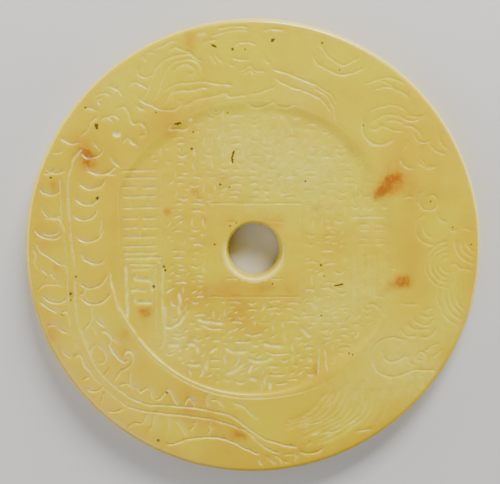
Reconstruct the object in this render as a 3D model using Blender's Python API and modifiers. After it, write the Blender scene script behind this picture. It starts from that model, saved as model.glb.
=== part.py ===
"""A carved jade bi disc, lying on its plain back with the carved face up.

Metres, +Z up. The origin is the middle of the back face, on the axis of the centre hole,
and +Y points to the top of the carving. The disc is turned from one profile, and the
carving is cut into it as V grooves, as a jade carver's wheel leaves them.
"""
import math

import bmesh
import bpy
from mathutils import Vector

# Driving dimensions of the turned disc
DIAMETER = 0.200
THICKNESS = 0.012
HOLE_FRONT_DIAMETER = 0.0240
HOLE_BACK_DIAMETER = 0.0226
HOLE_LIP = 0.0008
RIM_ROUND = 0.0026
BACK_ROUND = 0.0020
MEDALLION_DIAMETER = 0.130
MEDALLION_DEPTH = 0.0008
MEDALLION_STEP_WIDTH = 0.0006
BORDER_GAP = 0.0012
BORDER_WIDTH = 0.0009
BORDER_DEPTH = 0.0005
BACK_LINE_WIDTH = 0.0012
BACK_LINE_DEPTH = 0.0006
BACK_RIM_MARGIN = 0.010
TURN_STEPS = 72

# Widths of the cut lines
MAIN_CUT = 0.0013
LINE_CUT = 0.0010
FINE_CUT = 0.0008
CUT_RUN_OUT = 0.3

# Places in the outer band are drawn as shares of the disc's radius, from the drawn edge out
RADIUS = DIAMETER / 2
DRAWN_BAND_START = 0.67
SPINE_HALF_WIDTH = 0.019
INNER_SCALES = 9
OUTER_SCALES = 11
TAIL_STRANDS = 6
MANE_STRANDS = 4
WING_STRANDS = 3

# Places in the medallion are shares of the medallion's radius
MEDALLION_RADIUS = MEDALLION_DIAMETER / 2
FRAME_HALF = 0.31
PANEL_LEFT = -0.88
PANEL_RIGHT = -0.63
PANEL_TOP = 0.54
PANEL_ROWS = 11
PANEL_PITCH = 0.068
STROKE_PITCH_X = 0.125
STROKE_PITCH_Y = 0.092
STROKE_LENGTH = 0.075
WINDOW_LEFT = 0.66
WINDOW_TOP = 0.22

JADE_COLOR = (0.62, 0.46, 0.11, 1.0)
JADE_ROUGHNESS = 0.22
SHARP_DEGREES = 30


# Helpers for the scene and the material

def clear_scene():
    for item in list(bpy.data.objects):
        bpy.data.objects.remove(item, do_unlink=True)


def new_collection(name):
    collection = bpy.data.collections.new(name)
    bpy.context.scene.collection.children.link(collection)
    return collection


def jade_material():
    material = bpy.data.materials.new("jade")
    material.use_nodes = True
    shader = material.node_tree.nodes["Principled BSDF"]
    shader.inputs["Base Color"].default_value = JADE_COLOR
    shader.inputs["Roughness"].default_value = JADE_ROUGHNESS
    shader.inputs["Metallic"].default_value = 0.0
    return material


# The turned disc

def quarter_round(radius, height, depth, start, steps):
    """Points of a quarter circle that ends a face at radius, from start degrees clockwise."""
    centre_x = radius - depth
    centre_z = height
    points = []
    for step in range(steps + 1):
        angle = math.radians(start - 90 * step / steps)
        points.append((centre_x + depth * math.cos(angle), centre_z + depth * math.sin(angle)))
    return points


def turned_line(radius, width, face, depth):
    """A V line turned into a face: inner edge, bottom, outer edge."""
    return [(radius - width / 2, face), (radius, face + depth), (radius + width / 2, face)]


def disc_profile():
    """The closed profile at +X: out over the front, down the rim, in along the back."""
    front_hole = HOLE_FRONT_DIAMETER / 2
    back_hole = HOLE_BACK_DIAMETER / 2
    floor = THICKNESS - MEDALLION_DEPTH
    points = [
        (front_hole, floor - HOLE_LIP),
        (front_hole + HOLE_LIP, floor),
        (MEDALLION_RADIUS - MEDALLION_STEP_WIDTH, floor),
        (MEDALLION_RADIUS, THICKNESS),
    ]
    border = MEDALLION_RADIUS + BORDER_GAP + BORDER_WIDTH / 2
    points += turned_line(border, BORDER_WIDTH, THICKNESS, -BORDER_DEPTH)
    points += quarter_round(RADIUS, THICKNESS - RIM_ROUND, RIM_ROUND, 90, 3)
    points += quarter_round(RADIUS, BACK_ROUND, BACK_ROUND, 0, 2)
    back_radius = RADIUS - BACK_RIM_MARGIN
    points += reversed(turned_line(back_radius, BACK_LINE_WIDTH, 0.0, BACK_LINE_DEPTH))
    points += [(back_hole + HOLE_LIP, 0.0), (back_hole, HOLE_LIP)]
    return points


def turned_disc(name, collection):
    """The plain disc: the profile turned once round the Z axis."""
    profile = disc_profile()
    mesh = bpy.data.meshes.new(name)
    edges = [(index, (index + 1) % len(profile)) for index in range(len(profile))]
    mesh.from_pydata([(x, 0.0, z) for x, z in profile], edges, [])
    disc = bpy.data.objects.new(name, mesh)
    collection.objects.link(disc)
    turn = disc.modifiers.new("Turn", "SCREW")
    turn.axis = "Z"
    turn.angle = math.tau
    turn.screw_offset = 0.0
    turn.steps = TURN_STEPS
    turn.render_steps = TURN_STEPS
    turn.use_merge_vertices = True
    turn.merge_threshold = 0.00001
    return disc


# Lines of the carving, in shares of a radius

def arc(x, y, radius, start, end, steps=7, flat=1.0):
    """An arc in degrees; flat below 1 presses it down in Y."""
    line = []
    for step in range(steps + 1):
        angle = math.radians(start + (end - start) * step / steps)
        line.append((x + radius * math.cos(angle), y + radius * flat * math.sin(angle)))
    return line


def scroll(x, y, outer, inner, start, sweep, steps=11):
    """A spiral that winds in from the outer to the inner radius."""
    line = []
    for step in range(steps + 1):
        share = step / steps
        angle = math.radians(start + sweep * share)
        radius = outer + (inner - outer) * share
        line.append((x + radius * math.cos(angle), y + radius * math.sin(angle)))
    return line


def smooth(points, steps=3):
    """A smooth line through the points, with so many steps between each two."""
    guides = [Vector(point) for point in points]
    guides = [guides[0] * 2 - guides[1]] + guides + [guides[-1] * 2 - guides[-2]]
    line = []
    for index in range(1, len(guides) - 2):
        a, b, c, d = guides[index - 1:index + 3]
        for step in range(steps):
            t = step / steps
            line.append(0.5 * (2 * b + (c - a) * t + (2 * a - 5 * b + 4 * c - d) * t ** 2
                               + (3 * b - a - 3 * c + d) * t ** 3))
    line.append(guides[-2])
    return [tuple(point) for point in line]


def sides(line):
    """The unit vector to the left of a line at each of its points."""
    result = []
    for index in range(len(line)):
        before = Vector(line[max(index - 1, 0)])
        after = Vector(line[min(index + 1, len(line) - 1)])
        along = (after - before).normalized()
        result.append(Vector((-along.y, along.x)))
    return result


def beside(line, distance):
    """The line moved to its left by distance."""
    return [tuple(Vector(p) + side * distance) for p, side in zip(line, sides(line))]


def strands(first, last, count):
    """Lines that pass evenly from the first guide to the last, which have as many points."""
    result = []
    for number in range(count):
        share = number / (count - 1)
        guide = [tuple(Vector(a).lerp(Vector(b), share)) for a, b in zip(first, last)]
        result.append(smooth(guide))
    return result


def turned(line, x, y, size, turn):
    """A small figure drawn round the origin, set at a place, size and turn in degrees."""
    cosine = math.cos(math.radians(turn)) * size
    sine = math.sin(math.radians(turn)) * size
    return [(x + u * cosine - v * sine, y + u * sine + v * cosine) for u, v in line]


# The dragon and the clouds in the outer band

def dragon_spine():
    """The middle of the dragon's back, which winds down the left and along the foot."""
    return smooth([
        (-0.755, 0.455), (-0.803, 0.380), (-0.825, 0.240), (-0.815, 0.080),
        (-0.803, -0.080), (-0.801, -0.200), (-0.785, -0.340), (-0.732, -0.480),
        (-0.632, -0.611), (-0.500, -0.692), (-0.313, -0.720), (-0.188, -0.737),
        (-0.066, -0.784), (0.050, -0.862), (0.140, -0.897),
    ])


def spine_lines():
    spine = dragon_spine()
    return [beside(spine, SPINE_HALF_WIDTH), beside(spine[2:], -SPINE_HALF_WIDTH)]


def inner_scales():
    """Scales between the back and the medallion, as U arcs one below the other."""
    lines = []
    for number in range(INNER_SCALES):
        y = 0.43 - 0.079 * number
        lines.append(arc(-0.72, y, 0.055, 190, 345, steps=5, flat=0.75))
    return lines


def outer_scales():
    """Scales between the back and the rim, spread over the upper stretch of the spine."""
    spine = dragon_spine()
    lines = []
    for number in range(OUTER_SCALES):
        share = 0.11 + 0.59 * number / (OUTER_SCALES - 1)
        root = Vector(spine[round(share * (len(spine) - 1))]) * 1.025
        out = root.normalized()
        up = Vector((out.y, -out.x))
        reach = 0.965 - root.length
        guide = [root, root + out * reach * 0.5 - up * 0.014, root + out * reach + up * 0.03]
        lines.append(smooth([tuple(point) for point in guide], steps=3))
    return lines


def claw(x, y, size, turn):
    """A hooked claw: a bent toe that ends in a small curl."""
    toe = smooth([(-1.0, 0.8), (-0.3, 0.45), (-0.25, -0.15), (0.25, -0.75), (0.8, -0.8)])
    curl = arc(0.75, -0.45, 0.33, -60, 150, steps=5)
    return [turned(toe, x, y, size, turn), turned(curl, x, y, size, turn)]


def leg_lines():
    """The dragon's lower left leg, with one big claw and two small ones."""
    lines = [
        smooth([(-0.713, -0.235), (-0.713, -0.300), (-0.746, -0.345)]),
        smooth([(-0.695, -0.303), (-0.676, -0.325), (-0.655, -0.336)]),
        smooth([(-0.544, -0.530), (-0.547, -0.575), (-0.540, -0.625)]),
    ]
    for x, y, size, turn in [(-0.610, -0.425, 0.085, 0), (-0.685, -0.455, 0.05, -25)]:
        lines += claw(x, y, size, turn)
    return lines


def fin_lines():
    """Small fins that stand on the back along the foot of the disc."""
    lines = []
    for x, y, lean in [(-0.490, -0.635, 12), (-0.400, -0.655, -4), (-0.180, -0.675, -14)]:
        lines.append(turned(smooth([(-1.0, -0.6), (-0.3, 0.5), (0.9, -0.9)]), x, y, 0.04, lean))
    for x in (-0.640, -0.500, -0.385, -0.290):
        foot = -0.715 - 0.08 * (x + 0.640)
        lines.append(smooth([(x, foot), (x + 0.012, foot - 0.035), (x - 0.025, foot - 0.070)]))
    return lines


def tail_lines():
    """The belly line, the tail's tip and the hair that flows up to the right."""
    lines = [
        smooth([(-0.388, -0.868), (-0.230, -0.838), (-0.113, -0.853), (0.019, -0.918)]),
        smooth([(-0.094, -0.680), (0.000, -0.742), (0.038, -0.770), (0.144, -0.663)]),
    ]
    for number in range(4):
        x = 0.020 + 0.042 * number
        lines.append(smooth([(x, -0.935), (x + 0.022, -0.950), (x + 0.030, -0.968)], steps=1))
    low = [(0.238, -0.875), (0.363, -0.806), (0.470, -0.700), (0.540, -0.560)]
    high = [(0.206, -0.790), (0.300, -0.745), (0.388, -0.665), (0.445, -0.560)]
    return lines + strands(low, high, TAIL_STRANDS)


def head_lines():
    """The dragon's head and mane, top left, with the eye and the cloud below it."""
    low = [(-0.339, 0.660), (-0.220, 0.690), (-0.125, 0.668), (-0.060, 0.660)]
    high = [(-0.345, 0.775), (-0.240, 0.782), (-0.125, 0.765), (-0.020, 0.792)]
    lines = strands(low, high, MANE_STRANDS)
    lines += [
        smooth([(-0.426, 0.875), (-0.345, 0.900), (-0.310, 0.862), (-0.226, 0.813)]),
        smooth([(-0.256, 0.923), (-0.138, 0.936), (-0.030, 0.940)]),
        smooth([(-0.508, 0.640), (-0.439, 0.622), (-0.376, 0.605), (-0.323, 0.656)]),
        smooth([(-0.590, 0.613), (-0.544, 0.600), (-0.520, 0.547), (-0.470, 0.520),
                (-0.510, 0.462), (-0.545, 0.490)]),
        arc(-0.594, 0.503, 0.016, 0, 300, steps=6),
        smooth([(-0.840, 0.480), (-0.808, 0.460), (-0.770, 0.465)]),
        smooth([(-0.870, 0.413), (-0.845, 0.390), (-0.814, 0.405)]),
        smooth([(-0.019, 0.800), (0.006, 0.773), (0.044, 0.771)]),
    ]
    return lines


def wing_lines():
    """The long leaf of the wing at the top, and the double arc beside it."""
    outer = [(0.080, 0.776), (0.250, 0.720), (0.338, 0.670), (0.375, 0.583)]
    inner = [(0.080, 0.730), (0.220, 0.684), (0.300, 0.640), (0.330, 0.600)]
    lines = strands(outer, inner, WING_STRANDS)
    lines.append(smooth([(0.250, 0.842), (0.313, 0.783), (0.390, 0.760), (0.470, 0.790)]))
    lines.append(smooth([(0.280, 0.890), (0.330, 0.827), (0.390, 0.800), (0.450, 0.830)]))
    return lines


def ripples(x, y, radii, start, end):
    """Arcs round one centre, as water is drawn."""
    return [arc(x, y, radius, start, end, steps=8) for radius in radii]


def cloud(x, y, size, turn):
    """A cloud head: a wide bowl, a smaller one inside it and a curled end."""
    figure = [
        arc(0.0, 0.1, 1.0, 175, 365, steps=9, flat=0.8),
        arc(0.1, 0.15, 0.6, 190, 350, steps=6, flat=0.8),
        arc(-0.35, 0.45, 0.62, 20, 150, steps=5, flat=0.7),
    ]
    return [turned(line, x, y, size, turn) for line in figure]


def right_side_lines():
    """Clouds, scrolls and ripples that fill the right of the band."""
    lines = [
        arc(0.545, 0.520, 0.080, 165, 330),
        arc(0.570, 0.545, 0.052, 200, 60, steps=6),
        arc(0.550, 0.590, 0.075, 130, 40, steps=4),
        arc(0.560, 0.600, 0.120, 120, 10, steps=6),
        arc(0.680, 0.400, 0.045, 190, 285, steps=4),
        arc(0.750, 0.400, 0.030, 210, 300, steps=3),
        scroll(0.770, 0.220, 0.055, 0.020, 120, 300),
        scroll(0.765, 0.085, 0.065, 0.020, 290, -290),
        arc(0.850, 0.180, 0.060, 210, 285, steps=4),
        smooth([(0.894, -0.006), (0.925, -0.038), (0.956, -0.050)]),
    ]
    lines += ripples(0.850, -0.060, (0.045, 0.070, 0.105), 100, 265)
    lines += ripples(0.920, -0.180, (0.050, 0.080), 115, 262)
    for x, y, size, turn in [(0.735, -0.300, 0.070, 5), (0.605, -0.480, 0.090, 10)]:
        lines += cloud(x, y, size, turn)
    lines.append(smooth([(0.700, -0.540), (0.770, -0.545), (0.840, -0.520)]))
    lines.append(arc(0.740, -0.480, 0.025, 0, 300, steps=6))
    return lines


# The strokes in the medallion, in shares of its radius

def frame_lines():
    """Four lines in a square round the hole, which stop short of each other."""
    half = FRAME_HALF
    reach = half * 0.92
    return [
        [(-reach, half), (reach, half)],
        [(-reach, -half), (reach, -half)],
        [(-half, -reach), (-half, reach)],
        [(half, -reach), (half, reach)],
    ]


def panel_lines():
    """The ladder of bars at the left, with a stepped hook in its lower half."""
    lines = [
        [(PANEL_LEFT, -0.09), (PANEL_LEFT + 0.005, -0.40)],
        [(PANEL_RIGHT - 0.045, -0.08), (PANEL_RIGHT - 0.045, -0.56)],
        [(PANEL_RIGHT + 0.01, 0.55), (PANEL_RIGHT + 0.01, -0.60)],
        [(-0.80, -0.165), (-0.80, -0.20), (-0.70, -0.20), (-0.69, -0.27)],
        [(-0.84, -0.265), (-0.725, -0.265)],
        [(-0.81, -0.345), (-0.69, -0.345)],
    ]
    middle = (PANEL_LEFT + PANEL_RIGHT) / 2
    for row in range(PANEL_ROWS):
        y = PANEL_TOP - row * PANEL_PITCH
        if row % 3 == 2:
            lines.append([(PANEL_LEFT + 0.02, y), (middle - 0.03, y)])
            lines.append([(middle + 0.02, y), (PANEL_RIGHT - 0.03, y)])
        else:
            lines.append([(PANEL_LEFT + 0.02, y), (PANEL_RIGHT - 0.04, y)])
    return lines


def stroke_lines():
    """Rows of short strokes over the rest of the medallion, in no writing."""
    lines = []
    half = STROKE_LENGTH / 2
    for column in range(-4, 8):
        x = column * STROKE_PITCH_X - 0.02
        for row in range(-10, 11):
            y = row * STROKE_PITCH_Y
            in_frame = max(abs(x), abs(y)) < FRAME_HALF + 0.06
            in_window = x + half > WINDOW_LEFT - 0.03 and -0.44 < y < WINDOW_TOP + 0.04
            if in_frame or in_window or math.hypot(abs(x) + half, abs(y)) > 0.93:
                continue
            kind = (3 * column + 5 * row) % 7
            if kind < 4:
                lines.append([(x - half, y), (x + half, y + 0.006 * (kind - 2))])
            elif kind == 4:
                lines.append([(x, y - half * 0.8), (x + 0.012, y + half * 0.8)])
    return lines


def window_lines():
    """The box of small windows at the right, with posts that run down from it."""
    lines = [[(WINDOW_LEFT, WINDOW_TOP), (WINDOW_LEFT + 0.23, WINDOW_TOP + 0.005)]]
    for column in range(2):
        x = WINDOW_LEFT + 0.045 + 0.10 * column
        for row in range(2):
            y = WINDOW_TOP - 0.05 - 0.095 * row
            lines.append([(x, y), (x + 0.075, y)])
            lines.append([(x + 0.005, y - 0.04), (x + 0.07, y - 0.04)])
    for post in range(3):
        x = WINDOW_LEFT + 0.015 + 0.075 * post
        lines.append([(x, -0.02), (x, -0.40 + 0.06 * post)])
    return lines


# Grooves are cut by diamond tubes whose lower corner makes the V

def in_band(line):
    """A line of the drawn band, spread over the real band between the border and the rim."""
    start = (MEDALLION_RADIUS + BORDER_GAP + BORDER_WIDTH) / RADIUS
    stretch = (1 - start) / (1 - DRAWN_BAND_START)
    placed = []
    for x, y in line:
        distance = math.hypot(x, y)
        share = (start + (distance - DRAWN_BAND_START) * stretch) / distance
        placed.append((x * share, y * share))
    return placed


def groove_cutter(name, lines, scale, level, width, collection):
    """One cutter mesh of many tubes, which lie with their middle just over the face."""
    lift = width * 0.04
    curve = bpy.data.curves.new(name, "CURVE")
    curve.dimensions = "3D"
    curve.twist_mode = "Z_UP"
    curve.bevel_depth = width / 2 + lift
    curve.bevel_resolution = 0
    curve.use_fill_caps = True
    for line in lines:
        spline = curve.splines.new("POLY")
        spline.points.add(len(line) - 1)
        for point, (x, y) in zip(spline.points, line):
            point.co = (x * scale, y * scale, level + lift, 1.0)
        if len(line) > 3:
            spline.points[0].radius = CUT_RUN_OUT
            spline.points[-1].radius = CUT_RUN_OUT
    tube = bpy.data.objects.new(name + "_tube", curve)
    collection.objects.link(tube)
    evaluated = tube.evaluated_get(bpy.context.evaluated_depsgraph_get())
    mesh = bpy.data.meshes.new_from_object(evaluated)
    work = bmesh.new()
    work.from_mesh(mesh)
    bmesh.ops.remove_doubles(work, verts=work.verts, dist=0.000001)
    work.to_mesh(mesh)
    work.free()
    cutter = bpy.data.objects.new(name, mesh)
    cutter.matrix_world = tube.matrix_world
    collection.objects.link(cutter)
    bpy.data.objects.remove(tube, do_unlink=True)
    cutter.hide_render = True
    cutter.display_type = "WIRE"
    return cutter


def cut(disc, cutter):
    difference = disc.modifiers.new(cutter.name, "BOOLEAN")
    difference.operation = "DIFFERENCE"
    difference.solver = "EXACT"
    difference.use_self = True
    difference.object = cutter


def shade(disc):
    """Applies the cuts, and shades the round faces smooth and the cuts' edges sharp."""
    evaluated = disc.evaluated_get(bpy.context.evaluated_depsgraph_get())
    mesh = bpy.data.meshes.new_from_object(evaluated)
    disc.modifiers.clear()
    disc.data = mesh
    mesh.shade_smooth()
    mesh.set_sharp_from_angle(angle=math.radians(SHARP_DEGREES))


def build():
    clear_scene()
    parts = new_collection("bi_disc")
    cutters = new_collection("bi_disc_cutters")
    disc = turned_disc("jade_disc", parts)
    disc.data.materials.append(jade_material())

    floor = THICKNESS - MEDALLION_DEPTH
    band_cuts = [
        ("spine_cut", spine_lines(), MAIN_CUT),
        ("scale_cut", inner_scales() + outer_scales(), LINE_CUT),
        ("leg_cut", leg_lines(), MAIN_CUT),
        ("fin_cut", fin_lines(), LINE_CUT),
        ("tail_cut", tail_lines(), LINE_CUT),
        ("head_cut", head_lines(), LINE_CUT),
        ("wing_cut", wing_lines(), LINE_CUT),
        ("cloud_cut", right_side_lines(), LINE_CUT),
    ]
    field_cuts = [
        ("frame_cut", frame_lines(), FINE_CUT),
        ("panel_cut", panel_lines() + window_lines(), LINE_CUT),
        ("stroke_cut", stroke_lines(), LINE_CUT),
    ]
    tools = []
    for name, lines, width in band_cuts:
        placed = [in_band(line) for line in lines]
        tools.append(groove_cutter(name, placed, RADIUS, THICKNESS, width, cutters))
    for name, lines, width in field_cuts:
        tools.append(groove_cutter(name, lines, MEDALLION_RADIUS, floor, width, cutters))
    for tool in tools:
        cut(disc, tool)
    shade(disc)


build()
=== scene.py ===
# %% [markdown]
# A carved jade bi disc, lying on its back
# A bi is a flat jade disc with a hole in its middle. This one is yellow jade, about as
# wide as a hand is long, with a dragon and clouds cut round a sunken medallion. The packed
# model gives its true size, and this script gives it its looks: the fine carving, the
# cloudy stone and its stains. The frame is loaded first, because every size comes from it.

# %% Load the frame
import math

import bmesh
import bpy
from mathutils import Matrix, Vector, geometry, kdtree, noise


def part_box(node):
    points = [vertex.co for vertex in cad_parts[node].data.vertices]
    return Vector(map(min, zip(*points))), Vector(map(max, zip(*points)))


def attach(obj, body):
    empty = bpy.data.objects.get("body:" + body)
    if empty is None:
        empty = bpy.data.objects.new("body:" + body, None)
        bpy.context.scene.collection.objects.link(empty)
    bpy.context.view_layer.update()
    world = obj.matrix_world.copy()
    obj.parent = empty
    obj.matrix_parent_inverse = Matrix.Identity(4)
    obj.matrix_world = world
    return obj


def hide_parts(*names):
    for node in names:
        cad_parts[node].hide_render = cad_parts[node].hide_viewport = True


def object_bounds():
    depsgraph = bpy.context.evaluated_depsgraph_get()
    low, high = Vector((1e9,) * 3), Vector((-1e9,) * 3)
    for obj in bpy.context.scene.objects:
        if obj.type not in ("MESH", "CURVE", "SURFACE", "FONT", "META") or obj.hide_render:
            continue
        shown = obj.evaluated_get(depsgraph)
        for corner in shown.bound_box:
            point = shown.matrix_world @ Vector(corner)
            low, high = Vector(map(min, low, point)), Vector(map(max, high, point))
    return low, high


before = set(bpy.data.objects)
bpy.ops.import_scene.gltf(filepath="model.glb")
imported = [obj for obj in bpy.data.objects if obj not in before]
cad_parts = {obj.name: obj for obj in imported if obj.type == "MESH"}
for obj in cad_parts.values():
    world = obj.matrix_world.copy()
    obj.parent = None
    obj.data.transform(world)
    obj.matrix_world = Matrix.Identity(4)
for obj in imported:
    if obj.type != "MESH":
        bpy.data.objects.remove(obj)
cad_low, cad_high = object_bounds()
disc_low, disc_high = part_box("jade_disc")
RADIUS = (disc_high[0] - disc_low[0]) / 2
THICKNESS = disc_high[2] - disc_low[2]
print("radius", round(RADIUS, 4), "thickness", round(THICKNESS, 4))

# %% [markdown]
# The camera
# The disc was photographed from almost straight ahead, so over the lying disc the camera
# hangs almost straight above it, a little towards the top of the carving. Its place was
# found from two circles: the disc's edge and the rim of the hole, whose centre is shifted.

# %% Hang the camera
CAMERA_PLACE = Vector((-0.00766, 0.02965, 0.3266))
CAMERA_AIM = Vector((-0.00193, 0.00381, 0.0))
CAMERA_LENS = 54.0


def looking(place, aim, up=Vector((0, 1, 0))):
    """The turn of a camera or lamp at place that looks at aim, with up towards the top."""
    back = (place - aim).normalized()
    right = up.cross(back).normalized()
    return Matrix((right, back.cross(right), back)).transposed().to_4x4()


def set_in_scene(name, data, place, aim):
    """Puts a camera or a lamp at a place, turned towards its aim."""
    thing = bpy.data.objects.new(name, data)
    bpy.context.scene.collection.objects.link(thing)
    thing.matrix_world = Matrix.Translation(place) @ looking(place, aim)
    return thing


front = Vector((0, 0, THICKNESS))
camera_data = bpy.data.cameras.new("camera")
camera_data.lens = CAMERA_LENS
camera_data.sensor_width = 36.0
camera = set_in_scene("camera", camera_data, CAMERA_PLACE + front, CAMERA_AIM + front)
bpy.context.scene.camera = camera
print("camera", [round(value, 3) for value in camera.location])

# %% [markdown]
# The drawing board
# A carver first draws the whole design on the stone in ink. Here the ink is a list of
# lines. They are drawn in hundredths of the disc's radius, with the hole at zero and the
# top of the carving at +Y. Three helpers draw them: a smooth line through a few points,
# an arc, and a spiral. Each line also says which wheel cuts it and how pale its cut is.

# %% Lines, arcs and spirals
UNIT = RADIUS / 100
CARVED_EDGE = 96.8
WHEELS = {
    "frosted": (0.00105, 0.00034),
    "bold": (0.00090, 0.00045),
    "broad": (0.00070, 0.00042),
    "line": (0.00052, 0.00032),
    "fine": (0.00044, 0.00022),
    "soft": (0.00110, 0.00022),
}
LEAST_FRESH, MIDDLE_FRESH = 0.46, 0.66
WORN_TO_RIGHT, WORN_TO_TOP = 0.0042, 0.0036
HAND_SEED = 7
HAND_WAVES = 0.34
HAND_REACH = 0.36
noise.seed_set(HAND_SEED)
cuts = []


def smooth(points, steps=6):
    """A smooth line that passes through each point."""
    guides = [Vector(point) for point in points]
    guides = [guides[0] * 2 - guides[1]] + guides + [guides[-1] * 2 - guides[-2]]
    line = []
    for a, b, c, d in zip(guides, guides[1:], guides[2:], guides[3:]):
        for step in range(steps):
            t = step / steps
            line.append(0.5 * (2 * b + (c - a) * t + (2 * a - 5 * b + 4 * c - d) * t ** 2
                               + (3 * b - a - 3 * c + d) * t ** 3))
    line.append(guides[-2])
    return line


def arc(x, y, radius, start, end, flat=1.0, steps=14):
    """An arc in degrees. Flat below 1 presses it down in Y."""
    angles = [math.radians(start + (end - start) * step / steps) for step in range(steps + 1)]
    return [Vector((x + radius * math.cos(a), y + radius * flat * math.sin(a))) for a in angles]


def spiral(x, y, outer, inner, start, sweep, steps=22):
    """A line that winds in from the outer to the inner radius."""
    line = []
    for step in range(steps + 1):
        share = step / steps
        angle = math.radians(start + sweep * share)
        radius = outer + (inner - outer) * share
        line.append(Vector((x + radius * math.cos(angle), y + radius * math.sin(angle))))
    return line


def strands(first, last, count):
    """Lines spread evenly from one guide to another that has as many points."""
    for number in range(count):
        share = number / (count - 1)
        yield smooth([Vector(a).lerp(Vector(b), share) for a, b in zip(first, last)])


def freshness(point):
    """Cuts are deep and pale at the lower left and worn almost flat at the upper right."""
    fresh = MIDDLE_FRESH - WORN_TO_RIGHT * point[0] - WORN_TO_TOP * point[1]
    return min(1.0, max(LEAST_FRESH, fresh))


def unsteady(point):
    """A place where the hand-held wheel really went, a little beside the drawn one."""
    return point + noise.noise_vector(point.to_3d() * HAND_WAVES).xy * HAND_REACH


def cut(wheel, line, pale=1.0, slope=0.0):
    """Records one cut, kept off the rim. Slope eases the stone down to it from its left."""
    half, depth = WHEELS[wheel]
    line = [unsteady(point) for point in line if point.length < CARVED_EDGE]
    if len(line) < 2:
        return
    fresh = freshness(line[len(line) // 2])
    half *= 1.4 - 0.4 * fresh
    cuts.append((line, half, depth * fresh, pale * fresh ** 1.25, slope * fresh))


def cut_all(wheel, lines, pale, slope=0.0):
    """Cuts a whole list of drawn lines with one wheel and one strength."""
    for line in lines:
        cut(wheel, smooth(line), pale, slope)


print("wheels", ", ".join(WHEELS))

# %% [markdown]
# The dragon's back
# Two long lines run side by side down the left and along the foot, and make the ridge of
# the dragon's back. They are the first lines a carver would draw, because the scales, the
# legs and the fins all hang on them. Smooth curves through few points keep them flowing.

# %% Draw the back
BACK_INNER = [
    (-74.5, 43.8), (-77.6, 40.4), (-80.4, 33), (-80.9, 22), (-80, 8), (-79.2, -2),
    (-78.5, -13), (-78.8, -22), (-77.2, -32), (-73.6, -42.5), (-69.4, -52), (-63.5, -58.8),
    (-56.3, -64.4), (-48.5, -68.2), (-38.8, -69.1), (-25, -70.5), (-16, -72.2),
    (-9.4, -74.4), (-2.5, -79.7), (3.5, -83.8), (11.3, -86.9), (19.4, -88.4),
]
BACK_OUTER = [
    (-84.4, 32), (-84.2, 24.4), (-84, 13.8), (-82.6, 1.3), (-82, -10), (-81.8, -20),
    (-81.6, -29), (-79, -39.5), (-75.3, -48.5), (-70, -56.9), (-63, -64), (-56.3, -69.1),
    (-50, -71.3), (-43, -72.2), (-31.3, -73.6), (-18.8, -75.6), (-10, -78.3), (-3, -81.3),
    (1.5, -85.5), (6, -89), (11.3, -91.3),
]
BELLY = [
    (-38.8, -86.8), (-34.4, -86.3), (-30, -84.5), (-23, -83.8), (-17.5, -83.8),
    (-11.3, -85.3), (-6.3, -87.8), (-2.5, -89.7), (1.9, -91.6),
]
cut("broad", smooth(BACK_INNER[:8]), 0.85)
cut("broad", smooth(BACK_INNER[7:]), 1.0)
cut("line", smooth(BACK_OUTER[:8]), 0.6)
cut("broad", smooth(BACK_OUTER[7:]), 0.8)
cut("line", smooth(BELLY), 0.9, slope=0.8)
print("cuts so far", len(cuts))

# %% [markdown]
# Scales on both sides of the back
# Every scale is the same mark made again: a shallow bowl. That is work for Geometry Nodes.
# A cloud of points says where each scale sits, how wide it is and how it is turned, and
# the tree sets one arc on every point. It could be a loop in Python too, but the tree
# keeps the arc's shape in one place, with named inputs that can be tried by hand. A few
# helpers come first. They put nodes together, here and later on for the stone's shader.

# %% Helpers that put nodes together
def new_tree(name, sizes):
    """An empty tree with a geometry input and output and one named input for each size."""
    tree = bpy.data.node_groups.new(name, "GeometryNodeTree")
    tree.interface.new_socket("Geometry", in_out="OUTPUT", socket_type="NodeSocketGeometry")
    tree.interface.new_socket("Geometry", in_out="INPUT", socket_type="NodeSocketGeometry")
    for size, (kind, value) in sizes.items():
        socket = tree.interface.new_socket(size, in_out="INPUT", socket_type=kind)
        socket.default_value = value
    return tree, tree.nodes.new("NodeGroupInput"), tree.nodes.new("NodeGroupOutput")


def add_node(tree, kind, inputs=None, **settings):
    """A node with its settings, fed with plain values or with other nodes' outputs."""
    node = tree.nodes.new(kind)
    for name, value in settings.items():
        setattr(node, name, value)
    for name, value in (inputs or {}).items():
        feed(tree, node.inputs[name], value)
    return node


def feed(tree, socket, value):
    """Links a socket to another node's output, or gives it a plain value."""
    if isinstance(value, bpy.types.NodeSocket):
        tree.links.new(value, socket)
    else:
        socket.default_value = value


def open_socket(sockets, name=None):
    """The socket in use, for nodes that keep one hidden socket for each kind of data."""
    return next(socket for socket in sockets if socket.enabled and name in (None, socket.name))


def maths(tree, operation, *values):
    """The output of a maths node for up to three values."""
    inputs = dict(enumerate(values))
    return add_node(tree, "ShaderNodeMath", inputs, operation=operation).outputs["Value"]


def xyz(tree, **parts):
    """A vector whose X, Y and Z are numbers or other nodes' outputs."""
    inputs = {axis.upper(): value for axis, value in parts.items()}
    return add_node(tree, "ShaderNodeCombineXYZ", inputs).outputs["Vector"]


def turned_by(tree, angle):
    """A turn about the upright axis."""
    node = add_node(tree, "FunctionNodeEulerToRotation", {"Euler": xyz(tree, z=angle)})
    return node.outputs["Rotation"]


def attribute(tree, name):
    """The output of a node that reads a named number from the points."""
    node = add_node(tree, "GeometryNodeInputNamedAttribute", {"Name": name}, data_type="FLOAT")
    return node.outputs["Attribute"]


jade = bpy.data.materials.new("yellow_jade")


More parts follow.
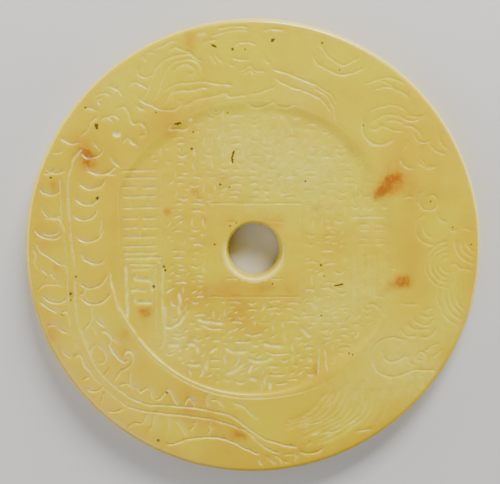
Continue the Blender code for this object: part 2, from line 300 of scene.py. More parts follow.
def finish_tree(tree, geometry_socket, group_output):
    """Every tree ends with real geometry in the disc's own material."""
    realize = add_node(tree, "GeometryNodeRealizeInstances", {"Geometry": geometry_socket})
    coat = add_node(tree, "GeometryNodeSetMaterial",
                    {"Geometry": realize.outputs["Geometry"], "Material": jade})
    tree.links.new(coat.outputs["Geometry"], group_output.inputs["Geometry"])


print("material", jade.name)

# %% A tree that stamps an arc on every point
def stamp_tree():
    """One arc on every point of a cloud, as wide and as turned as the point says."""
    sizes = {
        "Start": ("NodeSocketFloat", 0.0),
        "Sweep": ("NodeSocketFloat", 180.0),
        "Flat": ("NodeSocketFloat", 1.0),
        "Points": ("NodeSocketInt", 12),
    }
    tree, inputs, outputs = new_tree("stamp_arcs", sizes)
    given = inputs.outputs
    shape = add_node(tree, "GeometryNodeCurveArc", {
        "Radius": 1.0, "Resolution": given["Points"],
        "Start Angle": maths(tree, "RADIANS", given["Start"]),
        "Sweep Angle": maths(tree, "RADIANS", given["Sweep"])})
    flatten = add_node(tree, "GeometryNodeTransform", {
        "Geometry": shape.outputs["Curve"], "Scale": xyz(tree, x=1.0, y=given["Flat"], z=1.0)})
    line = add_node(tree, "GeometryNodeCurveToMesh", {"Curve": flatten.outputs["Geometry"]})
    set_on = add_node(tree, "GeometryNodeInstanceOnPoints", {
        "Points": given["Geometry"], "Instance": line.outputs["Mesh"],
        "Rotation": turned_by(tree, attribute(tree, "turn")), "Scale": attribute(tree, "size")})
    finish_tree(tree, set_on.outputs["Instances"], outputs)
    return tree


STAMP = stamp_tree()
print("tree", STAMP.name, "inputs", [item.name for item in STAMP.interface.items_tree])

# %% Run a tree and read its lines back
def point_cloud(name, places):
    """A mesh of loose points with a size and a turn on each: (x, y, size, turn in degrees)."""
    mesh = bpy.data.meshes.new(name)
    mesh.from_pydata([(x, y, 0.0) for x, y, _, _ in places], [], [])
    for label, column, scale in (("size", 2, 1.0), ("turn", 3, math.pi / 180)):
        values = mesh.attributes.new(label, "FLOAT", "POINT")
        values.data.foreach_set("value", [place[column] * scale for place in places])
    cloud = bpy.data.objects.new(name, mesh)
    bpy.context.scene.collection.objects.link(cloud)
    return cloud


def run_tree(thing, tree, values):
    """Puts a tree on a guide object, sets its inputs by identifier, and returns the mesh."""
    modifier = thing.modifiers.new(tree.name, "NODES")
    modifier.node_group = tree
    for item in tree.interface.items_tree:
        if item.name in values:
            modifier[item.identifier] = values[item.name]
    evaluated = thing.evaluated_get(bpy.context.evaluated_depsgraph_get())
    mesh = bpy.data.meshes.new_from_object(evaluated)
    thing.modifiers.remove(modifier)
    bpy.data.objects.remove(thing, do_unlink=True)
    return mesh


def chains(mesh):
    """The runs of joined edges in a mesh of lines, as lists of points."""
    following = {}
    for edge in mesh.edges:
        low, high = sorted(edge.vertices)
        following[low] = high
    starts = set(following) - set(following.values())
    for start in sorted(starts):
        line = [start]
        while line[-1] in following:
            line.append(following[line[-1]])
        yield [mesh.vertices[index].co.xy.copy() for index in line]


def stamp(wheel, places, start, sweep, flat=1.0, points=12, pale=1.0, slope=0.0):
    """Cuts one arc at every place, from a start angle over a sweep, and counts them."""
    cloud = point_cloud("marks", places)
    values = {"Start": start, "Sweep": sweep, "Flat": flat, "Points": points}
    mesh = run_tree(cloud, STAMP, values)
    lines = list(chains(mesh))
    for line in lines:
        cut(wheel, line, pale, slope)
    bpy.data.meshes.remove(mesh)
    return len(lines)


# %% [markdown]
# Where the scales sit
# The inner scales stand in a column between the back and the medallion, and the outer ones
# between the back and the rim. Each has its own width and tilt, because they were cut by
# eye. The slope on each cut lowers the stone softly behind the line, so that every scale
# seems to slip under the next, as it does on a real carving.

# %% Stamp the scales
INNER_SCALES = [
    (-70.2, 43.6, 4.6, 8), (-66.5, 37.8, 6.2, -2), (-70.2, 31.2, 5.6, 4),
    (-72.6, 24.2, 5.4, 0), (-73.6, 17.4, 5.2, 8), (-71.8, 8.6, 6.0, 14),
    (-70.2, -1.4, 5.4, -22), (-70.8, -11.4, 6.2, 20), (-69.8, -18.4, 6.6, 6),
]
OUTER_SCALES = [
    (-88.6, 27.6, 4.6, -14), (-87.8, 17.8, 4.4, -18), (-89.4, 9.4, 6.0, -12),
    (-87.2, -19.0, 5.6, -10), (-86.2, 45.6, 4.4, -24), (-86.4, 37.0, 4.8, -16),
]
made = stamp("line", INNER_SCALES, 195, 150, flat=0.78, pale=0.9, slope=1.0)
made += stamp("line", OUTER_SCALES, 200, 140, flat=0.70, pale=0.9, slope=0.9)
print("scales", made)

# %% [markdown]
# The rim's small marks and the fins
# Between the scales and the rim run small hooks, and fins stand up from the back along the
# foot. No two are alike, so they are drawn one by one: three to six points each.

# %% Draw the small marks by the rim
RIM_MARKS = [
    [(-96.5, 1), (-95.2, -1.6), (-96, -4.4), (-94.5, -8)],
    [(-95, 3.4), (-93.4, 0.4), (-91.2, -1.8), (-88, -3.6), (-85.6, -5.6), (-83, -6.2),
     (-81.8, -8)],
    [(-84.6, -27.4), (-82.6, -27), (-81.4, -30), (-80.8, -33.4)],
    [(-79, -47.4), (-77.4, -46.2), (-76, -48), (-75, -51), (-73, -53.4)],
    [(-90.6, 14.6), (-87, 13.8), (-84.4, 13.9), (-83.4, 11.4), (-82.6, 8)],
    [(-73.8, -15.4), (-74.6, -18.2), (-76.8, -20)],
    [(-67.4, 5.8), (-66.9, 9), (-66.8, 14)],
    [(-91.6, 7.6), (-88, 7), (-85, 8)],
    [(-92.8, -8), (-90.6, -10.8), (-91.2, -13)],
    [(-89.6, -9.6), (-87.4, -12), (-86.4, -14.2)],
    [(-94.4, -17.4), (-92.6, -15.4), (-88, -14.8), (-84, -15.2)],
    [(-94.6, -21.6), (-91, -24.8), (-87, -27)],
    [(-90.6, -33.2), (-87.6, -33), (-85, -35.2), (-81.6, -36.2)],
    [(-85.4, -42.4), (-84, -44.6), (-82.4, -46.4), (-80.2, -47.2)],
    [(-76.2, -57.6), (-74.6, -56.8), (-72.8, -55.8)],
    [(-74.4, -61.2), (-72, -62.4), (-69, -62), (-66.6, -60.4)],
    [(-66.3, -63), (-66.9, -65.6), (-67.8, -68.2)],
    [(-65.6, -71.2), (-61.3, -72), (-57.5, -70.2)],
    [(-48.1, -72.6), (-48.4, -75.2), (-50.4, -77.2), (-53.8, -77.2), (-56.3, -79.4)],
    [(-44.4, -73), (-45, -77), (-46.6, -80.2)],
    [(-38.8, -74.4), (-38, -77), (-38.6, -80)],
    [(-35.2, -75.6), (-32.6, -78.6), (-30.4, -83)],
    [(-26.3, -76.3), (-26.6, -78.4), (-28.4, -80.4)],
    [(-20, -77.4), (-19.4, -79.8), (-20.8, -82)],
    [(-91.2, 33.4), (-88.6, 33.6), (-86.2, 35)],
]
cut_all("line", RIM_MARKS, 0.85, slope=0.5)

FINS = [
    [(-54.8, -59.4), (-52, -61.4), (-50.2, -62.9), (-48, -61.4), (-46.7, -61.5),
     (-45.3, -64), (-44.7, -66.4)],
    [(-43.4, -66.6), (-41.4, -65.8), (-39.6, -63.4), (-38.7, -61.9), (-37.2, -63),
     (-35.5, -66.4), (-34.4, -68.8)],
    [(-30.8, -68.8), (-29, -66), (-27.4, -67.4), (-26.6, -69.6)],
    [(-20.3, -63.4), (-21, -66), (-20.8, -69.4)],
    [(-19.4, -66.6), (-16.3, -67), (-14, -69.6)],
]
cut_all("line", FINS, 1.0, slope=0.6)
cut("fine", smooth([(-9.4, -68), (-5, -70), (-1.9, -72.8), (1.3, -75.6)]), 0.7, slope=0.6)
print("rim marks", len(RIM_MARKS), "fins", len(FINS))

# %% [markdown]
# A leg with its claws
# Low on the left a leg reaches out from under the body and grips with hooked claws. Its
# cuts are the deepest and palest on the whole disc, because the wheel went over them more
# than once. The broad wheel is used for the big claw, the finer one for what hangs on it.

# %% Draw the leg
BIG_CLAW = [
    [(-67.2, -35.6), (-64.6, -36.4), (-63.1, -38.8), (-63.6, -41.8), (-62.2, -45.2),
     (-60, -47.5), (-57.6, -49.4), (-55.6, -48.8)],
    [(-57.4, -46.6), (-56.3, -44.7), (-54.4, -45), (-53.4, -47.4), (-53.9, -50),
     (-56.3, -52), (-58.8, -53.2), (-60.2, -55.4), (-61.4, -57.6)],
]
LEG = [
    [(-71.4, -23.8), (-71.2, -27), (-71.4, -30.2), (-73, -33), (-74.6, -34.7)],
    [(-70.8, -33), (-70, -34.8), (-69.4, -37.2)],
    [(-69.5, -30.3), (-67.6, -32.6), (-65.5, -33.7)],
    [(-62.6, -38.6), (-61.2, -39.6), (-60, -41.2)],
    [(-68.8, -41.4), (-66.3, -44.2), (-65.3, -47), (-66.2, -49.4), (-68.2, -49.6)],
    [(-70, -41.3), (-71.6, -43.8), (-71, -46)],
    [(-54.4, -53), (-54.8, -57.5), (-54, -62.5)],
    [(-59.4, -59.7), (-56.3, -59), (-55.3, -60.8)],
    [(-64, -52), (-66, -54.6), (-68.2, -55.4)],
    [(-74.8, -38), (-73.4, -41), (-73.6, -44)],
]
cut_all("broad", BIG_CLAW, 1.3, slope=0.8)
cut_all("line", LEG, 1.0, slope=0.5)
print("claws and leg", len(BIG_CLAW) + len(LEG))

# %% [markdown]
# The tail and its hair
# At the foot the back runs out into a tail with a small fringe, and long hair flows from it
# up the right side. Hair is drawn as guides at both edges with strands spread between them,
# which is how a carver spaces them too.

# %% Draw the tail
TAIL = [
    [(1.6, -93.6), (2.6, -95.6), (5.6, -98)],
    [(5.3, -93), (7.5, -94.4), (9.6, -96.6)],
    [(13.4, -91.9), (15.4, -91.6), (17.5, -91.8)],
    [(13.4, -94.7), (15, -95.4), (16.6, -95.6)],
    [(18.1, -91.3), (18.5, -93), (18.1, -94.6)],
    [(9, -92.2), (11.4, -94), (12.6, -96.4)],
    [(20.4, -90.6), (24, -91.4), (28, -90.8), (31, -89)],
]
cut_all("line", TAIL, 0.9, slope=0.4)

HAIR_OUTER = [(28, -86.6), (36, -83.6), (44, -79.4), (49.4, -74), (52.6, -67), (53.6, -58)]
HAIR_INNER = [(10, -78), (18, -75.6), (25, -72), (30, -67.4), (32.6, -63), (33.6, -59)]
for number, line in enumerate(strands(HAIR_OUTER, HAIR_INNER, 9)):
    wavy = [point + Vector((0.4, -0.3)) * math.sin(step * 0.4 + number * 0.5)
            for step, point in enumerate(line)]
    first, last = 2 * (number % 3), len(wavy) - 3 * ((number + 1) % 3)
    cut("soft", wavy[first:last], 0.45, slope=0.5)
HAIR_LIGHTS = [
    [(22.6, -78), (26, -77.4), (31.4, -76.4)], [(25.6, -82.6), (27.6, -82), (29.8, -81)],
    [(31, -82), (34.6, -81.4), (38.4, -80.4)], [(23.4, -87.8), (24.4, -87), (25.6, -86.2)],
    [(46.4, -81.2), (49, -81), (52.2, -80.2)], [(42, -77.6), (44.6, -76), (46.6, -74)],
    [(32.4, -69.6), (33.6, -68.4), (34.2, -66.8)],
]
cut_all("line", HAIR_LIGHTS, 1.1)
for x in (56, 60.4):
    cut("soft", smooth([(x - 6, -78), (x - 1.6, -70), (x, -62)]), 0.3)
print("cuts so far", len(cuts))

# %% [markdown]
# The head and the mane
# The top left holds the dragon's head: an eye drilled as one bright dimple, a cloud under
# the jaw, and a mane that sweeps along the medallion's upper edge. Here the cuts are worn
# shallow, so they are kept fine and less pale.

# %% Draw the head and the mane
HEAD = [
    [(-36.4, 85.6), (-33.6, 87), (-30, 85.6), (-27, 84.7), (-26, 82.8), (-22.6, 81.3)],
    [(-15, 95.2), (-11, 96), (-6, 96.2), (-3, 95.6)],
    [(-50, 65.6), (-47.6, 64), (-43.9, 62.5), (-41.4, 61), (-37.6, 60.6), (-34, 61),
     (-32, 63), (-32.3, 65.6)],
    [(-50.8, 62.5), (-49, 61.2), (-47, 61)],
    [(-59, 61.3), (-55.8, 62), (-54.4, 60), (-53.6, 57), (-52, 54.7), (-49, 55),
     (-47, 53), (-47, 50.6), (-49.5, 49.4)],
    [(-54.5, 48.8), (-53, 46.8), (-51, 46)],
    [(-66, 66), (-67.2, 64.6), (-66, 63)],
    [(-73, 61), (-70.6, 61.2), (-68, 60.5)],
    [(-62.3, 41), (-60.8, 38.4), (-58.3, 36.3)],
    [(-69.2, 47), (-68, 45.2), (-66.2, 43)],
    [(-72.9, 34.7), (-68.3, 33.6), (-64, 33), (-60, 33)],
    [(-66, 56.6), (-63.4, 57.6), (-61, 56)],
    [(-62.6, 70.6), (-59, 69.4), (-56.6, 66.6)],
    [(-50, 79), (-49.6, 75.8), (-46.6, 74.6), (-43.4, 75.8)],
    [(-47.2, 86), (-47.8, 83.6), (-46, 81.4)],
    [(-54, 71), (-51.4, 72.4), (-48, 71), (-45.6, 69.4)],
    [(-38.4, 63.6), (-36, 67.4), (-34.4, 70.4)],
    [(-68.2, 66.6), (-65, 67.8), (-62.2, 67.4)],
    [(-84, 49.6), (-81.6, 47.4), (-78.6, 46.2), (-75.6, 46.6)],
    [(-74, 50), (-71.6, 52.6), (-70, 55.6), (-67.6, 57.6)],
    [(-63.6, 57.4), (-61, 58.2), (-58.4, 57)],
    [(-36.2, 55), (-36.6, 52.6), (-34, 52.6), (-31, 52.4), (-28.6, 53.4)],
    [(-56.8, 46.8), (-55, 48.4), (-53, 47.2), (-51, 45.8)],
]
cut_all("line", HEAD, 0.95, slope=0.6)
BRIGHT_MARKS = [
    ("frosted", arc(-59.4, 51.5, 1.4, 195, 345), 3.0),
    ("frosted", [(-60.2, 50.3), (-59.4, 50.0), (-58.6, 50.2)], 3.0),
    ("frosted", [(-28.6, 56.8), (-27.4, 56.9), (-26.4, 56.6)], 2.2),
    ("frosted", [(-24.8, 92.5), (-22.6, 93), (-20.4, 93.2)], 1.5),
    ("line", [(-18, 92), (-15.4, 92.8), (-12.6, 93.8), (-9, 94.4), (-5, 94.6), (-2.6, 94)], 1.5),
    ("line", [(-46.6, 84.4), (-44.6, 85.2), (-42.6, 84.6)], 1.4),
    ("line", [(-42, 86.8), (-39, 87.6), (-36, 89.4), (-33.6, 89.8)], 1.5),
]
for wheel, line, pale in BRIGHT_MARKS:
    cut(wheel, [Vector(point) for point in line], pale)

MANE = [
    [(-48, 65), (-45.6, 69.4), (-43.9, 74), (-42.1, 78.3), (-38.3, 82), (-32.9, 83.9),
     (-27.6, 84.1), (-24.2, 82.5)],
    [(-42.6, 65.4), (-40.8, 69.6), (-39.4, 74), (-38.1, 77.2), (-35.1, 80.4), (-29.8, 82.2),
     (-25.5, 81.5), (-23, 79.4), (-22.7, 76.7)],
    [(-34.6, 77.2), (-31.9, 79.3), (-28.7, 79.9), (-26.4, 78.6), (-25.9, 76.7), (-28.7, 75.7)],
    [(-38.6, 69), (-33.9, 71.6), (-28.3, 72.2), (-21.9, 72.9), (-16.9, 71.9), (-9.4, 71.2)],
    [(-35.2, 65.1), (-34.7, 67.7), (-32, 68.8), (-27.7, 69.1), (-23.9, 69.9), (-20, 70.2)],
    [(-30.4, 62.7), (-27.7, 63.5), (-24.5, 65.1), (-20.2, 66.1), (-15.9, 67), (-12.7, 67.8),
     (-10.8, 66.2), (-7.3, 66.7), (-3.5, 67.2)],
    [(-1.9, 67.6), (2.4, 68.3), (6.7, 69.9), (8.8, 70.5)],
    [(-3.1, 64.4), (-2.1, 62.8), (1.3, 61.9), (5.6, 63.2), (8.3, 64.1), (10.1, 62.5),
     (14.2, 62), (17.5, 63)],
    [(-5.6, 77.6), (-3.5, 78.4), (-1.9, 79.3), (0.8, 77.4), (4.5, 77)],
    [(-4.6, 76), (-2.8, 77.2), (-1.6, 77.4), (0, 76)],
    [(-19, 84.6), (-17.6, 82.4), (-16.4, 80.6)],
    [(-17.2, 85.2), (-15.6, 83), (-14, 81)],
    [(-9.6, 82.6), (-6, 82.1), (-2.6, 82.3)],
    [(-11, 80.4), (-9.6, 79.6), (-8.6, 80)],
    [(-8.4, 88), (-6, 89.2), (-2.6, 89.5), (0.6, 88.6)],
    [(-22, 88.6), (-19.6, 90), (-16, 90.4)],
    [(4.6, 83.6), (4.9, 81.6), (6.4, 80.4)],
    [(4, 94.4), (8, 95), (12, 94.6)],
]
cut_all("line", MANE, 0.9, slope=0.7)
for radius in (1.5, 3.0):
    cut("fine", arc(-16.4, 61.2, radius, 160, 380, flat=0.8), 1.0)

WING = [
    [(8, 78), (14, 76.4), (19, 74.4), (25, 72), (30, 69.6), (33.6, 66.6), (35.2, 63.6)],
    [(9, 74), (12, 72.2), (17, 70.2), (22, 68.6), (27, 66.4), (30.2, 63.8), (32.8, 60.4)],
    [(26, 70), (31, 67), (34, 62.6), (35.3, 56.6)],
]
cut_all("line", WING, 0.7, slope=1.0)
cut("line", smooth([(25, 84.2), (27, 80.4), (31.3, 78.3), (36.3, 76.1), (41.3, 76.4),
                    (47, 79)]), 0.8, slope=0.6)
cut("line", smooth([(28, 89), (31, 84.5), (35, 81.4), (38.8, 80.1), (45, 83)]), 0.8, slope=0.5)
cut("fine", smooth([(48, 72), (53, 73.6), (58, 72), (61.6, 68.4)]), 0.6, slope=0.5)
print("cuts so far", len(cuts))

# %% [markdown]
# Clouds, scrolls and ripples on the right
# The dragon flies through clouds, and Chinese carvers draw those with three marks: arcs
# round one centre like ripples, small scrolls, and wide bowls. The ripples come from the
# stamping tree, several sizes on one centre. The rest are arcs and spirals of their own.

# %% Stamp the ripples
def ripples(x, y, radii, turn):
    """Places for the stamp: one centre with an arc of each radius."""
    return [(x, y, radius, turn) for radius in radii]


RIPPLES = ripples(85.4, -6.4, (3.4, 5.8, 8.0, 10.2), 0)
FOOT_RIPPLES = ripples(97, -19, (8.4, 10.8, 13.2, 16.2), 150) + ripples(98, 4, (5, 7.4, 10), 178)
made = stamp("line", RIPPLES, 95, 175, pale=0.85, slope=0.7, points=16)
made += stamp("line", FOOT_RIPPLES, 0, 90, pale=0.85, slope=0.7, points=14)
print("ripples", made)

# %% Draw the scrolls and clouds
SCROLLS = [
    arc(57.0, 58.0, 12.6, 112, 42),
    arc(57.0, 62.0, 12.6, 120, 50),
    arc(66.0, 47.0, 7.0, 100, 20),
    arc(76.0, 40.2, 4.4, 205, 290),
    spiral(77.0, 21.6, 5.6, 2.2, 130, 330),
    arc(78.0, 9.6, 7.2, 122, 276),
    arc(78.0, 9.8, 4.0, 150, 262),
    arc(87.0, 10.4, 2.0, 200, 340),
    spiral(73.8, -47.8, 2.8, 1.4, 0, 320),
    arc(68.0, 61.0, 6.0, 200, 330, flat=0.8),
    arc(74.0, 52.0, 5.0, 190, 300),
]
for line in SCROLLS:
    cut("line", line, 0.9, slope=0.6)
cut("broad", arc(54.4, 53.8, 8.0, 155, 318), 1.25, slope=0.8)
cut("broad", arc(68.0, 40.4, 4.6, 190, 278), 1.4, slope=0.8)
CLOUD_TAILS = [
    [(50.3, 52.8), (52.5, 52.5), (55, 53.8), (57.5, 53.4), (60, 52.2), (64.4, 51.7)],
    [(51.2, 55.4), (53, 57), (55.6, 58.5), (59, 58.9), (63, 58.3)],
    [(57.4, 56.2), (60, 56.3), (62.4, 55.8), (64.4, 55.2)],
    [(50, 60.4), (53, 61.8), (57, 62.8), (60, 63), (63.4, 62), (66, 60)],
    [(66.4, 58.6), (70, 58), (74, 58.5)],
    [(66.8, 48), (66.2, 45.6), (64.4, 44)],
    [(73, 39.6), (74.6, 37.4), (76.6, 36.4), (79, 36.4)],
    [(76, 46), (79.6, 43), (82.6, 42)],
    [(80, 50), (81.4, 46.4), (84, 44)],
    [(79.8, 16.8), (81.2, 13.6), (84.4, 12.2)],
    [(91.4, 9.4), (93, 9.4), (94.8, 8.8)],
    [(86.4, -6.8), (88.6, -6.2), (91, -8.2), (95.6, -8.8)],
    [(65.8, 23), (67.2, 23.4), (68.8, 23.2)],
    [(70.6, 21.4), (72.2, 19.6), (72.4, 17.2)],
    [(65.6, -23.8), (68.6, -24), (72, -24.2)],
    [(74.4, -26.8), (76.4, -26.6), (78.8, -25.4)],
    [(73.8, -28.8), (76.4, -29.8), (79.4, -29.2)],
    [(70.2, -30), (71.6, -31.8), (74.6, -33.4), (77.6, -32.8), (80, -30.2)],
    [(68, -33.2), (70.4, -35), (74.6, -35.4), (77.4, -35)],
    [(64.6, -34.6), (66, -37), (69, -38.4), (71.8, -38.2)],
    [(73.6, -38.6), (76.2, -38.8), (79, -37.2), (80.8, -34.6)],
    [(75.6, -44.8), (77.4, -44), (79.2, -42.6), (81.6, -41.6)],
    [(66.4, -39.6), (62, -38.8), (57, -39.6), (53.4, -42.4), (51.8, -46.4), (52.6, -50.6),
     (55.6, -54.6), (60, -56.4), (65, -56), (69.4, -54.2), (72, -53.6), (80, -53.6)],
    [(56.6, -44.6), (57.6, -47.6), (60.6, -49.8), (64, -49.2), (67, -47.6), (68.6, -48.4),
     (69.2, -50.4), (71, -51)],
    [(79.4, -47.6), (81.4, -46.4), (83, -44.8)],
]
cut_all("line", CLOUD_TAILS, 0.8, slope=0.5)
print("cuts so far", len(cuts))

# %% [markdown]
# The medallion's square and its ladder
# Inside the border a thin square stands round the hole, and at the left a ladder of bars
# with a stepped hook below it. Bars that share their ends are made by a loop over their
# heights. The long lines beside them are drawn one by one.

# %% Draw the square and the ladder
SQUARE = 20.6
SMALL_SQUARE = 12.6
LADDER_LEFT, LADDER_RIGHT = -57.2, -42.4
LADDER_BARS = [34.6, 31.6, 27.6, 23.4, 18.6, 14.2, 10.0, 5.8, 1.8, -1.2]
SPLIT_BARS = (27.6, 14.2, 10.0)


def bar(x, y, length, tilt=0.0):
    """A short straight stroke from its left end."""
    return smooth([(x, y), (x + length / 2, y + tilt / 2), (x + length, y + tilt)], steps=3)


for side in (-1, 1):
    edge = SQUARE * side
    wheel, pale = ("line", 0.8) if side > 0 else ("fine", 0.4)
    cut(wheel, smooth([(-SQUARE, edge), (0, edge), (SQUARE, edge)]), pale)
    cut("fine", smooth([(edge, -SQUARE), (edge, 0), (edge, SQUARE)]), 0.3)
    corner = SMALL_SQUARE * side
    cut("fine", bar(-SMALL_SQUARE, corner, 5.6), 0.9 if side < 0 else 0.2)
    cut("fine", bar(SMALL_SQUARE - 5.6, corner, 5.6), 0.9 if side < 0 else 0.2)
for height in LADDER_BARS:
    width = LADDER_RIGHT - LADDER_LEFT
    if height in SPLIT_BARS:
        cut("line", bar(LADDER_LEFT, height, width * 0.42), 0.8)
        cut("line", bar(LADDER_RIGHT - width * 0.42, height, width * 0.42), 0.8)
    else:
        cut("line", bar(LADDER_LEFT, height, width, 0.3), 0.85)
for x, low, high in ((-50, 14.2, 18.6), (-50, 5.8, 10), (-50, 27.6, 31.6), (-54, 18.6, 23.4),
                     (-46, 18.6, 23.4)):
    cut("fine", smooth([(x, low + 0.8), (x, (low + high) / 2), (x, high - 0.8)]), 0.7)
cut("fine", smooth([(-58.6, 33), (-58.8, 16), (-58.8, 0)]), 0.4)
HOOK = [
    ("bold", [(-56.4, -6), (-56.2, -14), (-56, -22), (-55.7, -29.4)], 1.4),
    ("line", [(-56.6, -3.4), (-50, -3.2), (-40.6, -3.2)], 1.3),
    ("line", [(-54.8, -6.0), (-49, -6.2), (-43.6, -6.2)], 1.2),
    ("fine", [(-54, -8.1), (-49.4, -8.1), (-45, -8)], 0.8),
    ("bold", [(-52.3, -10.8), (-52.1, -12.6), (-49, -13), (-46.4, -13), (-45, -14.6),
              (-44.8, -18)], 1.25),
    ("bold", [(-54.4, -17.4), (-51, -17.4), (-47.4, -17.4)], 1.35),
    ("bold", [(-52.7, -20.4), (-52.2, -22.6), (-48.6, -23), (-44.6, -22.8)], 1.5),
    ("line", [(-43.4, -5), (-43.4, -20), (-43.6, -37)], 0.7),
    ("fine", [(-40.2, 36), (-40.1, 12), (-40.1, -2)], 0.4),
    ("broad", [(-40.1, -3.6), (-40.4, -16), (-40.2, -26), (-39.4, -39.6)], 1.1),
    ("line", [(-41.4, -3), (-42.4, -4.4), (-41, -5.4)], 1.3),
    ("frosted", [(-39.4, -24.4), (-39.2, -27), (-39.4, -30)], 1.1),
    ("broad", [(-62.6, -9.6), (-61.9, -16), (-60.4, -22.4), (-59, -26.6)], 1.0),
]
for wheel, line, pale in HOOK:
    cut(wheel, smooth(line), pale)
print("ladder bars", len(LADDER_BARS), "hook lines", len(HOOK))

# %% [markdown]
# Bolder strokes at the foot of the medallion
# Towards the lower left the strokes are cut deeper and look almost white. They are drawn
# one by one, again as bars, hooks and ticks in rows and with no meaning.

# %% Draw the bold strokes and the windows
BOLD = [
    ("bold", [(-40.4, -33.4), (-36.4, -34), (-32.4, -31.4), (-30.2, -27.6), (-28.6, -26)]),
    ("bold", [(-33.6, -18.6), (-32.6, -22), (-33.4, -25.4), (-32.6, -28.4)]),
    ("line", [(-38.4, -18.4), (-36.4, -17), (-34.6, -16.4)]),
    ("bold", [(-25.4, -30.2), (-21.6, -31.6), (-17.4, -32), (-13.4, -32.4)]),
    ("line", [(-23.6, -32.8), (-19.4, -34.6), (-14, -34.8)]),
    ("frosted", [(-38, -41.8), (-35.2, -42), (-32.4, -41.8)]),
    ("line", [(-36.2, -38.2), (-33.4, -38.8), (-30.8, -38.2)]),
    ("bold", [(-29.4, -41.4), (-27, -41.6), (-25.4, -43.4), (-24.8, -45.4)]),
    ("frosted", [(-33.2, -47.8), (-32.6, -47.6), (-32, -47.6)]),
    ("bold", [(-29.4, -50.6), (-26.6, -50.9), (-24, -50.8)]),
    ("line", [(-29, -52.6), (-28.6, -54), (-28.2, -55.6)]),
    ("frosted", [(-20.8, -48.4), (-21.2, -51), (-21.2, -53.2)]),
    ("bold", [(-19.8, -45.4), (-18, -44.2), (-16.2, -43.2)]),
    ("frosted", [(-12.6, -54.6), (-9.4, -54), (-6.6, -52), (-4.6, -50.6)]),
    ("bold", [(-2.6, -48.2), (1.4, -49.4), (4.4, -49.2), (8.2, -48)]),
    ("bold", [(-0.8, -50.6), (-1.8, -52.6), (-2.4, -54.6)]),
    ("frosted", [(-2.2, -57.4), (-0.4, -57.6), (1.2, -57.4)]),
    ("line", [(3, -59), (3.3, -60.6), (3.2, -62.6)]),
    ("bold", [(6.7, -58.8), (6.8, -60.4), (7, -62.2)]),
    ("line", [(6.8, -55.6), (10.2, -55.8), (13.6, -55.4)]),
    ("line", [(9.4, -59.4), (12.2, -59.8), (14.6, -59.4)]),
    ("bold", [(-12.8, -43), (-9.6, -45), (-5.6, -45.2), (-3, -44.6)]),
    ("line", [(-9, -40.4), (-5.6, -40.8), (-1.4, -40.4)]),
    ("bold", [(3.8, -41.4), (8, -42.4), (13.6, -42.8)]),
    ("line", [(5, -45), (9.4, -46.4), (15, -45.8)]),
    ("line", [(-4.2, -37), (-0.2, -37.8), (3.6, -37.2)]),
    ("bold", [(20.8, -34.4), (22.6, -36.6), (25, -38.6)]),
    ("line", [(28.4, -41.6), (28.6, -48), (28.4, -55)]),
    ("fine", [(31.4, -44), (31.8, -49), (32.4, -54.2)]),
    ("frosted", [(23.8, -47.6), (24.6, -49), (25.6, -49.8)]),
    ("line", [(-36.8, -22.2), (-35.6, -24), (-34.4, -24.4)]),
]
stroke_places = []
for wheel, line in BOLD:
    cut(wheel, smooth(line), 1.7)
    stroke_places.extend(smooth(line, steps=3))

WINDOW_LEFT, WINDOW_TOP = 43.0, 14.4
cut("line", bar(WINDOW_LEFT, WINDOW_TOP, 15, 0.4), 1.3)
for column in (3.2, 9.8):
    for row in (3.2, 9.4):
        cut("fine", bar(WINDOW_LEFT + column, WINDOW_TOP - row, 4.4), 1.2)
        cut("fine", bar(WINDOW_LEFT + column, WINDOW_TOP - row - 2.4, 4.4), 1.2)
for post, foot, pale in ((1.4, -31, 0.8), (5.4, -19, 0.2), (8.4, -20, 0.8), (10.8, -19, 0.1)):
    x = WINDOW_LEFT + post
    cut("broad", smooth([(x, -1.4), (x, foot / 2), (x, foot)]), pale)
cut("fine", bar(52.8, -19.8, 4.8, -1.4), 1.2)
cut("broad", smooth([(50, -24.2), (53, -24), (55.6, -25.6), (58, -29)]), 0.1)
cut("fine", smooth([(60, -8), (61.2, -8.4), (62.6, -8.8)]), 2.2)
cut("fine", smooth([(56.6, -12.8), (57.2, -12.9), (57.8, -12.8)]), 2.2)
print("bold strokes", len(BOLD))

# %% [markdown]
# Rows of strokes that are no writing
# The rest of the medallion is covered with upright columns of small strokes. Here they are
# plain rows of bars and ticks, which say nothing. A grid with random lengths, gaps and
# tilts is just what Geometry Nodes are good at, and a fixed seed keeps it the same.

# %% A tree that fills a grid with strokes
def random_value(tree, low, high, seed, offset):
    """A random number for each point, from the tree's seed and an offset of its own."""
    node = add_node(tree, "FunctionNodeRandomValue", data_type="FLOAT")
    for name, value in (("Min", low), ("Max", high), ("Seed", maths(tree, "ADD", seed, offset))):
        feed(tree, open_socket(node.inputs, name), value)
    return open_socket(node.outputs)


